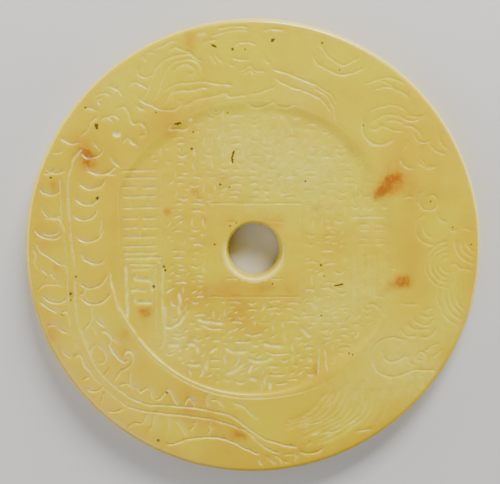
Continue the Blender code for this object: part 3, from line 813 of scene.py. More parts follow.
def stroke_tree():
    """A grid of short strokes, some left out, each a little moved, tilted and stretched."""
    sizes = {
        "Width": ("NodeSocketFloat", 80.0),
        "Height": ("NodeSocketFloat", 110.0),
        "Columns": ("NodeSocketInt", 12),
        "Rows": ("NodeSocketInt", 30),
        "Length": ("NodeSocketFloat", 4.0),
        "Turn": ("NodeSocketFloat", 0.0),
        "Bend": ("NodeSocketFloat", 0.0),
        "Kept": ("NodeSocketFloat", 0.8),
        "Seed": ("NodeSocketInt", 1),
    }
    tree, inputs, outputs = new_tree("stroke_rows", sizes)
    given = inputs.outputs
    seed = given["Seed"]
    grid = add_node(tree, "GeometryNodeMeshGrid", {
        "Size X": given["Width"], "Size Y": given["Height"],
        "Vertices X": given["Columns"], "Vertices Y": given["Rows"]})
    jitter = xyz(tree, x=random_value(tree, -0.9, 0.9, seed, 10),
                 y=random_value(tree, -0.5, 0.5, seed, 20))
    moved = add_node(tree, "GeometryNodeSetPosition",
                     {"Geometry": grid.outputs["Mesh"], "Offset": jitter})
    chosen = maths(tree, "LESS_THAN", random_value(tree, 0.0, 1.0, seed, 30), given["Kept"])
    stroke = add_node(tree, "GeometryNodeMeshLine", {
        "Count": 3, "Start Location": (-0.5, 0.0, 0.0), "Offset": (0.5, 0.0, 0.0)}, mode="OFFSET")
    index = add_node(tree, "GeometryNodeInputIndex").outputs["Index"]
    at_middle = maths(tree, "COMPARE", index, 1.0, 0.1)
    bent = add_node(tree, "GeometryNodeSetPosition", {
        "Geometry": stroke.outputs["Mesh"],
        "Offset": xyz(tree, y=maths(tree, "MULTIPLY", at_middle, given["Bend"]))})
    tilt = maths(tree, "ADD", given["Turn"], random_value(tree, -0.10, 0.10, seed, 40))
    longer = maths(tree, "MULTIPLY", given["Length"], random_value(tree, 0.55, 1.15, seed, 50))
    set_on = add_node(tree, "GeometryNodeInstanceOnPoints", {
        "Points": moved.outputs["Geometry"], "Selection": chosen,
        "Instance": bent.outputs["Geometry"], "Rotation": turned_by(tree, tilt), "Scale": longer})
    finish_tree(tree, set_on.outputs["Instances"], outputs)
    return tree


STROKES = stroke_tree()
print("tree", STROKES.name, "inputs", [item.name for item in STROKES.interface.items_tree])

# %% [markdown]
# Keep the strokes out of each other's way
# A stroke is dropped where it would leave the sunken field, or run into the square, the
# ladder or the small windows at the right. The test is made on the lines that come back
# from the tree, because those zones belong to the drawing and not to the tree.

# %% Lay the rows of strokes
FIELD_EDGE = 61.5
FIELD_WIDTH, FIELD_HEIGHT = 114.0, 116.0
STROKE_GAP = 1.45
LADDER_ZONE = (-60, -38.5, -39, 38)
WINDOW_ZONE = (41.5, 59.5, -24, 16.5)


def inside(point, zone):
    """True in a zone given as its left, right, lower and upper edge."""
    left, right, low, high = zone
    return left < point[0] < right and low < point[1] < high


def free_place(point):
    """True on the sunken field where nothing else is drawn."""
    in_square = max(abs(point[0]), abs(point[1])) < SQUARE + 1.0
    taken = in_square or inside(point, LADDER_ZONE) or inside(point, WINDOW_ZONE)
    return not taken and math.hypot(point[0], point[1]) < FIELD_EDGE


def clear_of_others(line):
    """True where no earlier stroke comes near, so that no two ever cross."""
    return all((Vector(point) - other).length > STROKE_GAP
               for point in line for other in stroke_places)


def stroke_rows(wheel, pale, **values):
    """Cuts the strokes that one run of the tree gives, and counts the ones kept."""
    guide = bpy.data.objects.new("rows", bpy.data.meshes.new("rows"))
    bpy.context.scene.collection.objects.link(guide)
    named = {"Width": FIELD_WIDTH, "Height": FIELD_HEIGHT}
    named.update({key.capitalize(): value for key, value in values.items()})
    mesh = run_tree(guide, STROKES, named)
    kept = [smooth(line, steps=3) for line in chains(mesh)
            if all(free_place(point) for point in line) and clear_of_others(line)]
    for line in kept:
        cut(wheel, line, pale)
    stroke_places.extend(point for line in kept for point in line)
    bpy.data.meshes.remove(mesh)
    return len(kept)


bars = stroke_rows("line", 1.35, columns=15, rows=41, length=5.2, bend=0.06, kept=0.36, seed=3)
bars += stroke_rows("line", 1.35, columns=19, rows=37, length=4.2, bend=-0.22, kept=0.30, seed=4)
ticks = stroke_rows("line", 1.35, columns=27, rows=24, length=4.4, turn=math.pi / 2, bend=0.10,
                    kept=0.50, seed=8)
ticks += stroke_rows("line", 1.35, columns=31, rows=29, length=3.4, turn=1.2, bend=-0.24,
                     kept=0.40, seed=9)
hooks = stroke_rows("fine", 1.6, columns=38, rows=42, length=2.6, turn=0.5, kept=0.60, seed=5)
hooks += stroke_rows("fine", 1.6, columns=43, rows=50, length=2.4, bend=-0.18, kept=0.7, seed=6)
print("bars", bars, "ticks", ticks, "short ones", hooks)
print("all cuts", len(cuts), "length in mm", round(sum(
    (b - a).length for line, *_ in cuts for a, b in zip(line, line[1:])) * UNIT * 1000))

# %% [markdown]
# From lines to stone
# A grid fine enough for these cuts would need millions of faces. Instead the surface gets
# points only where something happens: a row along the bottom of each cut, rows up both of
# its walls and one just outside, and a loose net of points over the plain stone between.
# A flat Delaunay triangulation then joins them all, and the height comes afterwards.

# %% Sample every cut evenly
SAMPLE_PITCH = 0.45 * UNIT
TAPER_LENGTH = 0.9 * UNIT


def resampled(line, pitch):
    """Evenly spaced places along a line: point, direction, and length to the nearer end."""
    points = [Vector(point) * UNIT for point in line]
    lengths = [(b - a).length for a, b in zip(points, points[1:])]
    total = sum(lengths)
    count = max(2, round(total / pitch))
    places = []
    index, passed = 0, 0.0
    for step in range(count + 1):
        along = total * step / count
        while index < len(lengths) - 1 and passed + lengths[index] < along:
            passed += lengths[index]
            index += 1
        a, b = points[index], points[index + 1]
        share = (along - passed) / max(lengths[index], 1e-9)
        places.append((a.lerp(b, share), (b - a).normalized(), min(along, total - along)))
    return places


samples = []
for line, half, depth, pale, slope in cuts:
    for place, along, to_end in resampled(line, SAMPLE_PITCH):
        fade = min(1.0, 0.3 + 0.7 * to_end / TAPER_LENGTH)
        samples.append((place, along, half * (0.5 + 0.5 * fade), depth * fade, pale * fade,
                        slope * fade))
print("samples along the cuts", len(samples))

# %% [markdown]
# The disc's own profile
# Before any line is cut the disc is turned: a flat band, a rounded step down into the
# medallion with a fine line round it, a rounded rim and a hole with softened lips. One
# function gives the height of the front at any distance from the middle.

# %% Heights of the turned front
HOLE_FRONT = 0.0124
HOLE_BACK = 0.0113
RIM_ROUND = 0.0026
BACK_ROUND = 0.0020
HOLE_LIP = 0.0009
STEP_RADIUS = 0.0652
STEP_DENT, DENT_DEGREES, DENT_SPREAD = 0.0005, 218, 26
STEP_CRISP = 0.0016
STEP_WORN = 0.0044
STEP_DEPTH = 0.0008
BORDER_RADIUS = 0.0655
BORDER_HALF = 0.00042
BORDER_DEPTH = 0.00030
BORDER_STRAYS = ((225, 25, 0.0005), (275, 20, 0.0009))
RIM_HIGHLIGHT_WIDTH = 0.0016
LIP_HIGHLIGHT_EDGE = 0.0145
HIGHLIGHT_FADE = 0.0008
RIM_SHADE_FROM, RIM_SHADE_WIDTH = 0.088, 0.010
CRISP_DEGREES = 243
FOOT_DEGREES, FOOT_SPREAD = 226, 24


def eased(value):
    """A smooth step from 0 to 1."""
    value = min(1.0, max(0.0, value))
    return value * value * (3 - 2 * value)


def bell(distance, half):
    """1 at the middle of a cut and 0 at its edge, with soft shoulders."""
    share = abs(distance) / half
    return (1 - share * share) ** 1.5 if share < 1 else 0.0


def crispness(x, y):
    """1 where the medallion's edge is still crisp, at the lower left, and 0 where it is worn."""
    turn = math.atan2(y, x) - math.radians(CRISP_DEGREES)
    return eased(1.7 * (math.cos(turn) - 0.40))


def border_radius(degrees):
    """The border line was cut by hand: along the foot it strays outwards, in two steps."""
    return BORDER_RADIUS + sum(reach * eased((degrees - start) / spread)
                               for start, spread, reach in BORDER_STRAYS)


def turned_height(x, y):
    """Height of the front's own shape at a place, and how pale its border line is, with a painted
    highlight on the step's edge.
    """
    radius, crisp = math.hypot(x, y), crispness(x, y)
    degrees = math.degrees(math.atan2(y, x)) % 360
    step_radius = STEP_RADIUS - STEP_DENT * bell(degrees - DENT_DEGREES, DENT_SPREAD)
    to_foot = eased((degrees - FOOT_DEGREES) / FOOT_SPREAD)
    worn = STEP_WORN * (1.3 + 1.2 * noise.noise(Vector((x, y, 0.01)) / max(radius, 0.01) * 2.2))
    width = worn + (STEP_CRISP - worn) * crisp
    step = STEP_DEPTH * eased((step_radius - radius) / width)
    line = bell(radius - border_radius(degrees), BORDER_HALF)
    # Edge paints a highlight in a band just inside the step, strongest at the lower left, where
    # the step's wall faces the key lamp.
    edge = bell(radius - step_radius + STEP_CRISP * 0.45, STEP_CRISP * 0.35)
    height = THICKNESS - step - BORDER_DEPTH * (0.12 + 0.88 * crisp) * line
    return height, crisp * max((1.2 - 1.0 * to_foot) * edge, (0.25 + 0.75 * to_foot) * line)


def rim_painted_highlight(x, y):
    """A painted highlight on the rounded rim, brightest at the top and the right, which face the
    lamps.
    """
    outer = eased((math.hypot(x, y) - RADIUS + RIM_HIGHLIGHT_WIDTH) / HIGHLIGHT_FADE)
    return outer * eased(0.62 + 0.60 * math.sin(math.atan2(y, x) + 0.3))


def lip_painted_highlight(x, y):
    """A painted highlight along the foot of the hole's lip, where the lip catches the light."""
    inner = eased((LIP_HIGHLIGHT_EDGE - math.hypot(x, y)) / HIGHLIGHT_FADE)
    return 1.5 * inner * eased(0.35 - 0.85 * math.sin(math.atan2(y, x) + 0.25))


def rim_honey_shade(x, y):
    """Painted shade: a deeper honey near the rim, at the foot and at both sides, which turn away
    from the top light.
    """
    outer = eased((math.hypot(x, y) - RIM_SHADE_FROM) / RIM_SHADE_WIDTH)
    return 0.9 * outer * eased(0.62 - 0.62 * math.sin(math.atan2(y, x)))


print("medallion floor", round(turned_height(0.05, 0.0)[0], 5))

# %% [markdown]
# Stains, glows and specks
# Old jade carries rusty stains where iron has crept into cracks, wide honey glows round
# them, and dark specks. All are placed one by one, each with a radius and a strength. The
# specks need points of their own, because a colour kept on points can't be sharper than
# the net of points is.

# %% Place the stains and the specks
# Most of these are stains. Those along the top of the medallion's step, from (-47, 55) to (-20,
# 62.5) and from (21, 62) to (44, 44), are partly an amber stain and partly painted shadow where
# the step's wall faces away from the key lamp.
STAINS_AND_STEP_SHADOW = [
    (-72, 41, 4.6, 0.95), (-71, 37, 4, 0.5), (-76, 47.6, 6, 0.5), (-86, 28.6, 3.6, 0.75),
    (-89.5, -38, 2.8, 0.9), (-90, -34, 3, 0.4), (-96, -25, 2.5, 0.5), (-80, -19, 2.2, 0.7),
    (-86, -7, 3, 0.55), (57.5, 28, 3.8, 1.1), (54, 24.4, 2.6, 1.2), (61, 31, 5, 0.5),
    (60, 38, 7, 0.42), (68, 27, 8.5, 0.48), (66.8, -13.6, 3.6, 1.2), (63, -14, 2.8, 0.5),
    (59.4, -16, 4.4, 0.5), (73, 46, 3, 0.5), (62.5, 66, 3, 0.3), (-28.4, 94, 2.8, 0.55),
    (-28, 89.6, 2.6, 0.5), (-27, 86, 2.4, 0.5), (-36, 57, 5, 0.36), (-42, 56, 6, 0.22),
    (-47, 55, 5, 0.2), (-28, 60.5, 5, 0.3), (-20, 62.5, 5, 0.35), (-37, 51, 3, 0.4),
    (-13.6, 32, 2.6, 0.65), (-38, 17.2, 2.2, 0.8), (-22, 13.4, 2, 0.65), (-26, 26, 2.6, 0.6),
    (-23.5, 23, 2, 0.5), (3, -17, 4, 0.55), (7, -16, 2.4, 0.5), (-10, -17.8, 5, 0.5),
    (14, -18, 4, 0.45), (-19, -18.6, 4.6, 0.5), (-6, -26, 6, 0.45), (-9, -30, 4, 0.4),
    (-26, -20, 5, 0.4), (-49, -27.4, 3.4, 0.9), (-46, -26.6, 2.6, 0.4), (-57, -37, 3.2, 0.6),
    (-28, -38, 2.6, 0.55), (-30, -62, 5, 0.3), (-29, -71, 6, 0.6), (-18, -75, 4.6, 0.55),
    (-43, -70.5, 4, 0.35), (-9.4, -74, 3, 0.5), (-8, -81, 3, 0.8), (-4.4, -83.6, 2.4, 0.7),
    (-11, -88, 5.5, 0.35), (28, 18.6, 1.8, 0.65), (31, 6, 2.4, 0.5), (27.4, -51.6, 1.7, 0.7),
    (27.4, -54.4, 1.7, 0.7), (20.8, -89.6, 2.6, 0.45), (-10, 12.2, 2.4, 0.4), (11, 12.4, 2, 0.4),
    (44, 44, 5, 0.35), (38, 52, 5, 0.35), (30, 58, 5, 0.35), (21, 62, 4, 0.3),
    (-26, 52.6, 2, 0.5), (-33, 7, 5, 0.25), (31, 74, 4.5, 0.25), (-60, 10, 7, 0.25),
    (67, 2, 5, 0.2), (-32, -22, 3, 0.3), (-37, -17, 3, 0.35), (57, -76, 5, 0.2),
    (47, -17, 4, 0.15), (-93, 12, 6, 0.25), (-61, -45, 6, 0.2),
]
HONEY_GLOWS = [
    (72, 24, 9, 0.9), (68, 8, 7, 0.7), (70, -4, 8, 0.8), (73, -14, 9, 0.6), (64, 42, 8, 0.6),
    (78, 40, 8, 0.4), (84, 20, 9, 0.3), (4, -17.4, 6, 0.9), (-6, -17.4, 6, 0.9),
    (-16, -18, 6, 0.9), (-26, -19, 6, 0.7), (14, -18.4, 5, 0.8), (22, -18.8, 4, 0.6),
    (-8, -27, 8, 0.9), (-20, -26, 7, 0.6), (0, -34, 7, 0.8), (-4, 13.4, 4, 0.9),
    (4, 13.4, 4, 0.9), (10.6, 12.4, 3.2, 1.1), (-11, 12.4, 3.2, 1.1), (-30, 10, 9, 0.5),
    (-33, -20, 9, 0.7), (-36, -6, 6, 0.4), (-36, 56, 9, 1.1), (-50, 50, 9, 0.7),
    (-60, 34, 9, 0.5), (-68, 48, 9, 0.7), (-74, 38, 9, 0.8), (-86, 26, 9, 0.6), (-92, 6, 9, 0.7),
    (-60, 14, 8, 0.4), (-64, -10, 9, 0.5), (-60, -40, 9, 0.7), (-54, -56, 9, 0.4),
    (-88, -36, 8, 0.6), (-80, -16, 9, 0.4), (-30, -66, 11, 0.8), (-24, -72, 9, 0.8),
    (-10, -80, 8, 0.8), (-14, -92, 10, 0.5), (2, -94, 12, 0.5), (22, -90, 12, 0.5),
    (34, -74, 10, 0.3), (56, -76, 6, 0.3), (30, -54, 7, 0.4), (-28, 90, 5, 0.7),
    (-20, 74, 9, 0.3), (22, 62, 9, 0.5), (38, 66, 9, 0.4), (44, 46, 8, 0.4), (60, 66, 8, 0.3),
    (-84, 6, 9, 0.3), (-46, -26, 7, 0.6), (38, 4, 8, 0.4), (0, 70, 9, 0.2),
]
MILKY_GLOWS = [
    (8, 40, 20, 0.9), (30, 34, 16, 0.7), (-14, 48, 12, 0.5), (48, -18, 12, 0.6),
    (30, -28, 12, 0.8), (62, -50, 16, 0.9), (78, -58, 12, 0.5), (-62, 72, 12, 0.4),
    (-46, 84, 8, 0.3), (-46, 26, 8, 0.3), (-4, -50, 12, 0.5), (-72, -38, 10, 0.2),
    (42, -66, 10, 0.4), (20, 70, 8, 0.3), (86, -30, 10, 0.5), (50, 14, 8, 0.5),
    (-36, -40, 9, 0.6), (-37, -30, 5, 0.4), (-35, -41.6, 5, 0.4), (-29, -47, 5, 0.35),
    (-84, 60, 8, 0.2),
]
SPECKS = [
    (-68, 54.2, 1.01), (-67.8, 53, 0.68), (-72.6, 61.8, 0.54), (-88, 31.8, 0.61),
    (-68, 22.9, 0.94), (-78, -11.2, 0.68), (-80.4, -18.8, 0.74), (-80.4, -21.6, 0.47),
    (-39.7, -7, 0.81), (-39.1, -8.6, 0.68), (-44.2, -15.9, 0.88), (-33.2, 55, 0.81),
    (-32.4, 55.4, 0.54), (-26.5, 51.5, 0.47), (-27.2, 44.3, 0.68), (-31.6, 43.9, 0.41),
    (-9.1, 42.6, 0.7), (-9.4, 41.2, 0.55), (-9.6, 39.6, 0.68), (-9.4, 38.4, 0.61),
    (-14.9, 28.9, 0.61), (-10.8, 27.8, 0.47), (-17.5, 88.1, 0.68), (-16.8, 87.9, 0.47),
    (-9.4, 86.6, 0.68), (-4, 86.6, 0.41), (7.8, 90.5, 0.81), (7.4, 90, 0.54), (29, 89.4, 0.54),
    (36.6, 78, 0.41), (47.2, 54.4, 0.54), (22.2, 30.3, 0.54), (29.3, -6.5, 0.61),
    (30.8, -11.4, 0.41), (35.9, -15.6, 0.47), (37, -15.3, 0.47), (38.2, -15, 0.47),
    (29.6, -29, 0.47), (42, -45.8, 0.47), (43.6, -46.4, 0.41), (-17.4, 2.7, 0.54),
    (8, -14.7, 0.47), (-38.9, -63.1, 0.74), (-42.8, -84.7, 0.81), (77, 21.5, 0.47),
    (87, 10.2, 0.41), (95.2, 2.6, 0.47), (-11.6, 59.7, 0.41), (-10.6, 10.8, 0.47),
    (-7.9, 12.1, 0.41), (-84.6, -28, 0.41), (-83.6, -28.4, 0.34), (-42.4, 59.8, 0.41),
]
TRAIL_SPECK = 0.42
SPECK_TRAILS = [
    [(-8.8, 43.2), (-9.4, 41.6), (-9.8, 40.2), (-9.4, 38.4)],
    [(-34.4, 54.8), (-33.2, 55.3), (-31.8, 55.1)],
    [(-68, 54.6), (-68.2, 53.2)],
    [(-18.2, 88.4), (-17.2, 87.7), (-16.4, 87.5)],
    [(35.6, -15.7), (37.4, -15.4), (39, -15.0)],
    [(7.2, 90), (8.4, 90.9)],
]
for trail in SPECK_TRAILS:
    for a, b in zip(trail, trail[1:]):
        for share in (0.0, 0.2, 0.4, 0.6, 0.8, 1.0):
            x, y = Vector(a).lerp(Vector(b), share)
            SPECKS.append((x, y, TRAIL_SPECK))


def glow_at(point, glows):
    """The sum of soft round glows at a place, from 0 to a little over 1."""
    total = 0.0
    for x, y, radius, strength in glows:
        square = (point[0] - x) ** 2 + (point[1] - y) ** 2
        if square < 7 * radius * radius:
            total += strength * math.exp(-square / (radius * radius))
    return min(total, 1.2)


print("stains", len(STAINS_AND_STEP_SHADOW), "specks", len(SPECKS), "honey glows", len(HONEY_GLOWS))

# %% Scatter the points of the front
GUARD = 0.00030
ROW_GAP = 0.00015
NET_PITCH = 1.55 * UNIT
FIELD_PITCH = 1.15 * UNIT
RIM_POINTS = 480
HOLE_POINTS = 144
STEP_POINTS = 380
BORDER_POINTS = 400
CELL = 0.0008


class PointNet:
    """Points that are only taken where no earlier one is nearer than a gap."""

    def __init__(self):
        self.points = []
        self.cells = {}

    def add(self, x, y, gap):
        """Takes a point if the cells around it hold none that is nearer than the gap."""
        column, row = math.floor(x / CELL), math.floor(y / CELL)
        reach = math.ceil(gap / CELL)
        for i in range(column - reach, column + reach + 1):
            for j in range(row - reach, row + reach + 1):
                for px, py in self.cells.get((i, j), ()):
                    if (px - x) ** 2 + (py - y) ** 2 < gap * gap:
                        return
        self.points.append((x, y))
        self.cells.setdefault((column, row), []).append((x, y))

    def add_ring(self, radius, count, gap=0.0):
        """Points evenly round a circle."""
        for step in range(count):
            angle = math.tau * step / count
            self.add(radius * math.cos(angle), radius * math.sin(angle), gap)

    def fill(self, pitch, inner, outer):
        """Loose points in a honeycomb, between two circles."""
        rows = math.ceil(outer / (pitch * 0.866))
        for row in range(-rows, rows + 1):
            for column in range(-rows, rows + 1):
                x = (column + 0.5 * (row % 2)) * pitch
                y = row * pitch * 0.866
                if inner < math.hypot(x, y) < outer:
                    self.add(x, y, pitch * 0.45)


def front_points():
    """Rings first, then rows along the cuts, then the specks, and a loose net over the rest."""
    net = PointNet()
    inner, outer = HOLE_FRONT + HOLE_LIP + 0.0003, RADIUS - RIM_ROUND - 0.0003

    def add_between(x, y, gap):
        """Nothing may lie past the two rings that the rim and the hole are joined to."""
        if inner < math.hypot(x, y) < outer:
            net.add(x, y, gap)

    net.add_ring(RADIUS - RIM_ROUND, RIM_POINTS)
    net.add_ring(HOLE_FRONT + HOLE_LIP, HOLE_POINTS)
    for share in (0.2, 0.45, 0.7, 0.95, 1.4, 2.0, 2.7, 3.6):
        net.add_ring(STEP_RADIUS - STEP_CRISP * share, STEP_POINTS, ROW_GAP)
    for share in (0.0, -0.5, 0.5, 1.1, 1.8):
        for step in range(BORDER_POINTS):
            angle = math.tau * step / BORDER_POINTS
            radius = border_radius(math.degrees(angle)) + BORDER_HALF * share
            net.add(radius * math.cos(angle), radius * math.sin(angle), ROW_GAP)
    for share in (0.0, 0.5, -0.5, 1.0, -1.0):
        for place, along, half, *_ in samples:
            side = Vector((-along.y, along.x)) * half * share
            add_between(place.x + side.x, place.y + side.y, ROW_GAP)
    for side_sign in (1, -1):
        for place, along, half, *_ in samples[::2]:
            side = Vector((-along.y, along.x)) * (half + GUARD) * side_sign
            add_between(place.x + side.x, place.y + side.y, ROW_GAP * 2)
    for x, y, radius in SPECKS:
        for share, count in ((0.0, 1), (0.6, 6), (1.2, 10)):
            for step in range(count):
                angle = math.tau * step / count
                add_between((x + radius * share * math.cos(angle)) * UNIT,
                            (y + radius * share * math.sin(angle)) * UNIT, ROW_GAP)
    net.fill(FIELD_PITCH, HOLE_FRONT + HOLE_LIP + 0.0006, STEP_RADIUS - STEP_WORN)
    net.fill(NET_PITCH, STEP_RADIUS - STEP_WORN, RADIUS - RIM_ROUND - 0.0008)
    return net.points


front_net = front_points()
print("points on the front", len(front_net))

# %% [markdown]
# Joining the points
# Delaunay triangulation always picks the roundest triangles it can, so rows of points
# along a cut become clean strips. The triangles that span the hole are thrown away.

# %% Triangulate the front
def triangulated(points, hole_ring):
    """Triangles over the points, all facing up, without those inside the hole's ring."""
    flat = [Vector(point) * 1000 for point in points]
    _, _, faces, sources, _, _ = geometry.delaunay_2d_cdt(flat, [], [], 0, 1e-6, True)
    triangles = []
    for face in faces:
        a, b, c = (sources[index][0] for index in face)
        if all(index in hole_ring for index in (a, b, c)):
            continue
        first, second = flat[b] - flat[a], flat[c] - flat[a]
        area = first.x * second.y - first.y * second.x
        triangles.append((a, b, c) if area > 0 else (a, c, b))
    return triangles


HOLE_RING = range(RIM_POINTS, RIM_POINTS + HOLE_POINTS)
front_triangles = triangulated(front_net, HOLE_RING)
print("triangles on the front", len(front_triangles))

# %% [markdown]
# Height and colour of each point
# Each point looks for the cuts near it. The deepest one wins, so cuts that cross don't dig a
# pit. Beside a cut the stone also bends down softly, over about three millimetres, and a
# slow wave of three hundredths of a millimetre keeps the polish from looking like glass.

# %% Carve the heights
SLOPE_REACH = 0.0032
SLOPE_DEPTH = 0.00030
WAVE_SCALE = 42.0
WAVE_DEPTH = 0.00004
FIELD_SCALE = 190.0
FIELD_DEPTH = 0.00020
PATCH_SLOW, PATCH_QUICK = 330, 900
LEAST_PATCH = 0.2
SPECK_CORE = 0.8
FLAT_FROM = 0.0140

tree = kdtree.KDTree(len(samples))
for number, sample in enumerate(samples):
    tree.insert((sample[0].x, sample[0].y, 0.0), number)
tree.balance()


def carved(x, y):
    """Depth below the turned surface at a place, and how pale its cut is."""
    deepest, eased_down, pale_cut = 0.0, 0.0, 0.0
    for _, number, distance in tree.find_range((x, y, 0.0), SLOPE_REACH):
        place, along, half, depth, pale, slope = samples[number]
        ahead = (x - place.x) * along.x + (y - place.y) * along.y
        aside = (y - place.y) * along.x - (x - place.x) * along.y
        if abs(ahead) < SAMPLE_PITCH * 0.8:
            share = bell(aside, half)
            deepest = max(deepest, depth * share)
            pale_cut = max(pale_cut, pale * share)
        if slope and aside > 0:
            fall = (1 - distance / SLOPE_REACH) ** 2
            eased_down = max(eased_down, slope * SLOPE_DEPTH * fall)
    return deepest * (0.7 + 0.3 * patchiness(x, y)) + eased_down, pale_cut


def waves(x, y):
    """The slow wave of the polish, with the worn, uneven ground of the medallion on top."""
    slow = WAVE_DEPTH * noise.noise(Vector((x, y, 0.0)) * WAVE_SCALE)
    in_field = eased((STEP_RADIUS - 0.003 - math.hypot(x, y)) / 0.003)
    worn = noise.noise(Vector((x, y, 0.04)) * FIELD_SCALE)
    chipped = noise.noise(Vector((x, y, 0.08)) * FIELD_SCALE * 2.1)
    return slow + in_field * FIELD_DEPTH * (worn + 0.5 * chipped)


def patchiness(x, y):
    """Cuts are bright in one place and dull in the next: slow patches of uneven frosting, and
    quick beads of pale that are painted glints.
    """
    slow = noise.noise(Vector((x, y, 0.02)) * PATCH_SLOW)
    quick = noise.noise(Vector((x, y, 0.06)) * PATCH_QUICK)
    return max(LEAST_PATCH, 1 + 0.9 * slow + 0.8 * quick)


def speck_at(x, y):
    """1 on a dark speck and 0 off it."""
    return max(1.0 if math.hypot(x - sx, y - sy) < radius * SPECK_CORE else 0.0
               for sx, sy, radius in SPECKS)


front_heights = []
front_values = {"cut": [], "stain_and_shadow": [], "honey": [], "speck": [], "milky": []}
for x, y in front_net:
    depth, pale = carved(x, y)
    ground, line_pale_and_step_highlight = turned_height(x, y)
    radius = math.hypot(x, y)
    near_edge = eased((RADIUS - RIM_ROUND - radius) / 0.001) * eased((radius - FLAT_FROM) / 0.001)
    front_heights.append(ground - (depth - waves(x, y)) * near_edge)
    drawn = (x / UNIT, y / UNIT)
    # Besides the frosted cuts, the cut value carries painted highlights on the step's edge, the
    # rim and the hole's lip.
    front_values["cut"].append(max(pale, line_pale_and_step_highlight) * patchiness(x, y) + rim_painted_highlight(x, y)
                               + lip_painted_highlight(x, y))
    front_values["stain_and_shadow"].append(glow_at(drawn, STAINS_AND_STEP_SHADOW))
    front_values["honey"].append(glow_at(drawn, HONEY_GLOWS) + rim_honey_shade(x, y))
    front_values["speck"].append(speck_at(*drawn))
    front_values["milky"].append(glow_at(drawn, MILKY_GLOWS))
print("lowest point of the front", round(min(front_heights), 5))

# %% [markdown]
# One closed skin
# The rim is rounded over and runs down to the back in rows of the same count of points, so
# that each row joins the next without a seam. The back is plain, with one turned line, and
# the hole gets softened lips. Everything ends as one closed mesh that faces outward.

# %% Build the skin
BACK_LINE_RADIUS = 0.090
BACK_LINE_HALF = 0.0007
BACK_LINE_DEPTH = 0.0005
BACK_LINE_POINTS = 300
BACK_PITCH = 4.2 * UNIT


def rounded_rows(centre_radius, centre_height, round_radius, start, end, steps):
    """Rows of a quarter round in the disc's section, as (radius, height)."""
    for step in range(steps + 1):
        angle = math.radians(start + (end - start) * step / steps)
        yield (centre_radius + round_radius * math.cos(angle),
               centre_height + round_radius * math.sin(angle))


def back_points():
    """The plain back: two rings, one turned line and a loose net."""
    net = PointNet()
    net.add_ring(RADIUS - BACK_ROUND, RIM_POINTS)
    net.add_ring(HOLE_BACK + HOLE_LIP, HOLE_POINTS)
    for share in (-1.2, -0.5, 0.0, 0.5, 1.2):
        net.add_ring(BACK_LINE_RADIUS + BACK_LINE_HALF * share, BACK_LINE_POINTS)
    net.fill(BACK_PITCH, HOLE_BACK + HOLE_LIP + 0.002, RADIUS - BACK_ROUND - 0.002)
    return net.points


class Skin:
    """Points, triangles and the values on the points, joined up bit by bit."""

    def __init__(self):
        self.points = []
        self.faces = []
        self.values = {label: [] for label in front_values}

    def add_points(self, points, given=None):
        """Adds points with the values given for them, and returns their numbers."""
        first = len(self.points)
        self.points.extend(points)
        for label, values in self.values.items():
            values.extend((given or {}).get(label, [0.0] * len(points)))
        return list(range(first, len(self.points)))

    def add_ring(self, radius, height, count):
        """Adds a ring of points with the colours of the rim and the hole, and their painted
        highlights and shade.
        """
        places = [math.tau * step / count for step in range(count)]
        ring = [(radius * math.cos(a), radius * math.sin(a), height) for a in places]
        drawn = [(x / UNIT, y / UNIT) for x, y, _ in ring]
        given = {"stain_and_shadow": [0.7 * glow_at(point, STAINS_AND_STEP_SHADOW) for point in drawn],
                 "honey": [0.6 * glow_at((x / UNIT, y / UNIT), HONEY_GLOWS) + rim_honey_shade(x, y)
                           for x, y, _ in ring],
                 "cut": [(rim_painted_highlight(x, y) + lip_painted_highlight(x, y)) * eased(height / THICKNESS * 2 - 1)
                         for x, y, _ in ring]}
        return self.add_points(ring, given)

    def join(self, upper, lower):
        """Quads between two rings of the same count, facing away from the axis."""
        count = len(upper)
        for step in range(count):
            after = (step + 1) % count
            self.faces.append((upper[step], lower[step], lower[after], upper[after]))


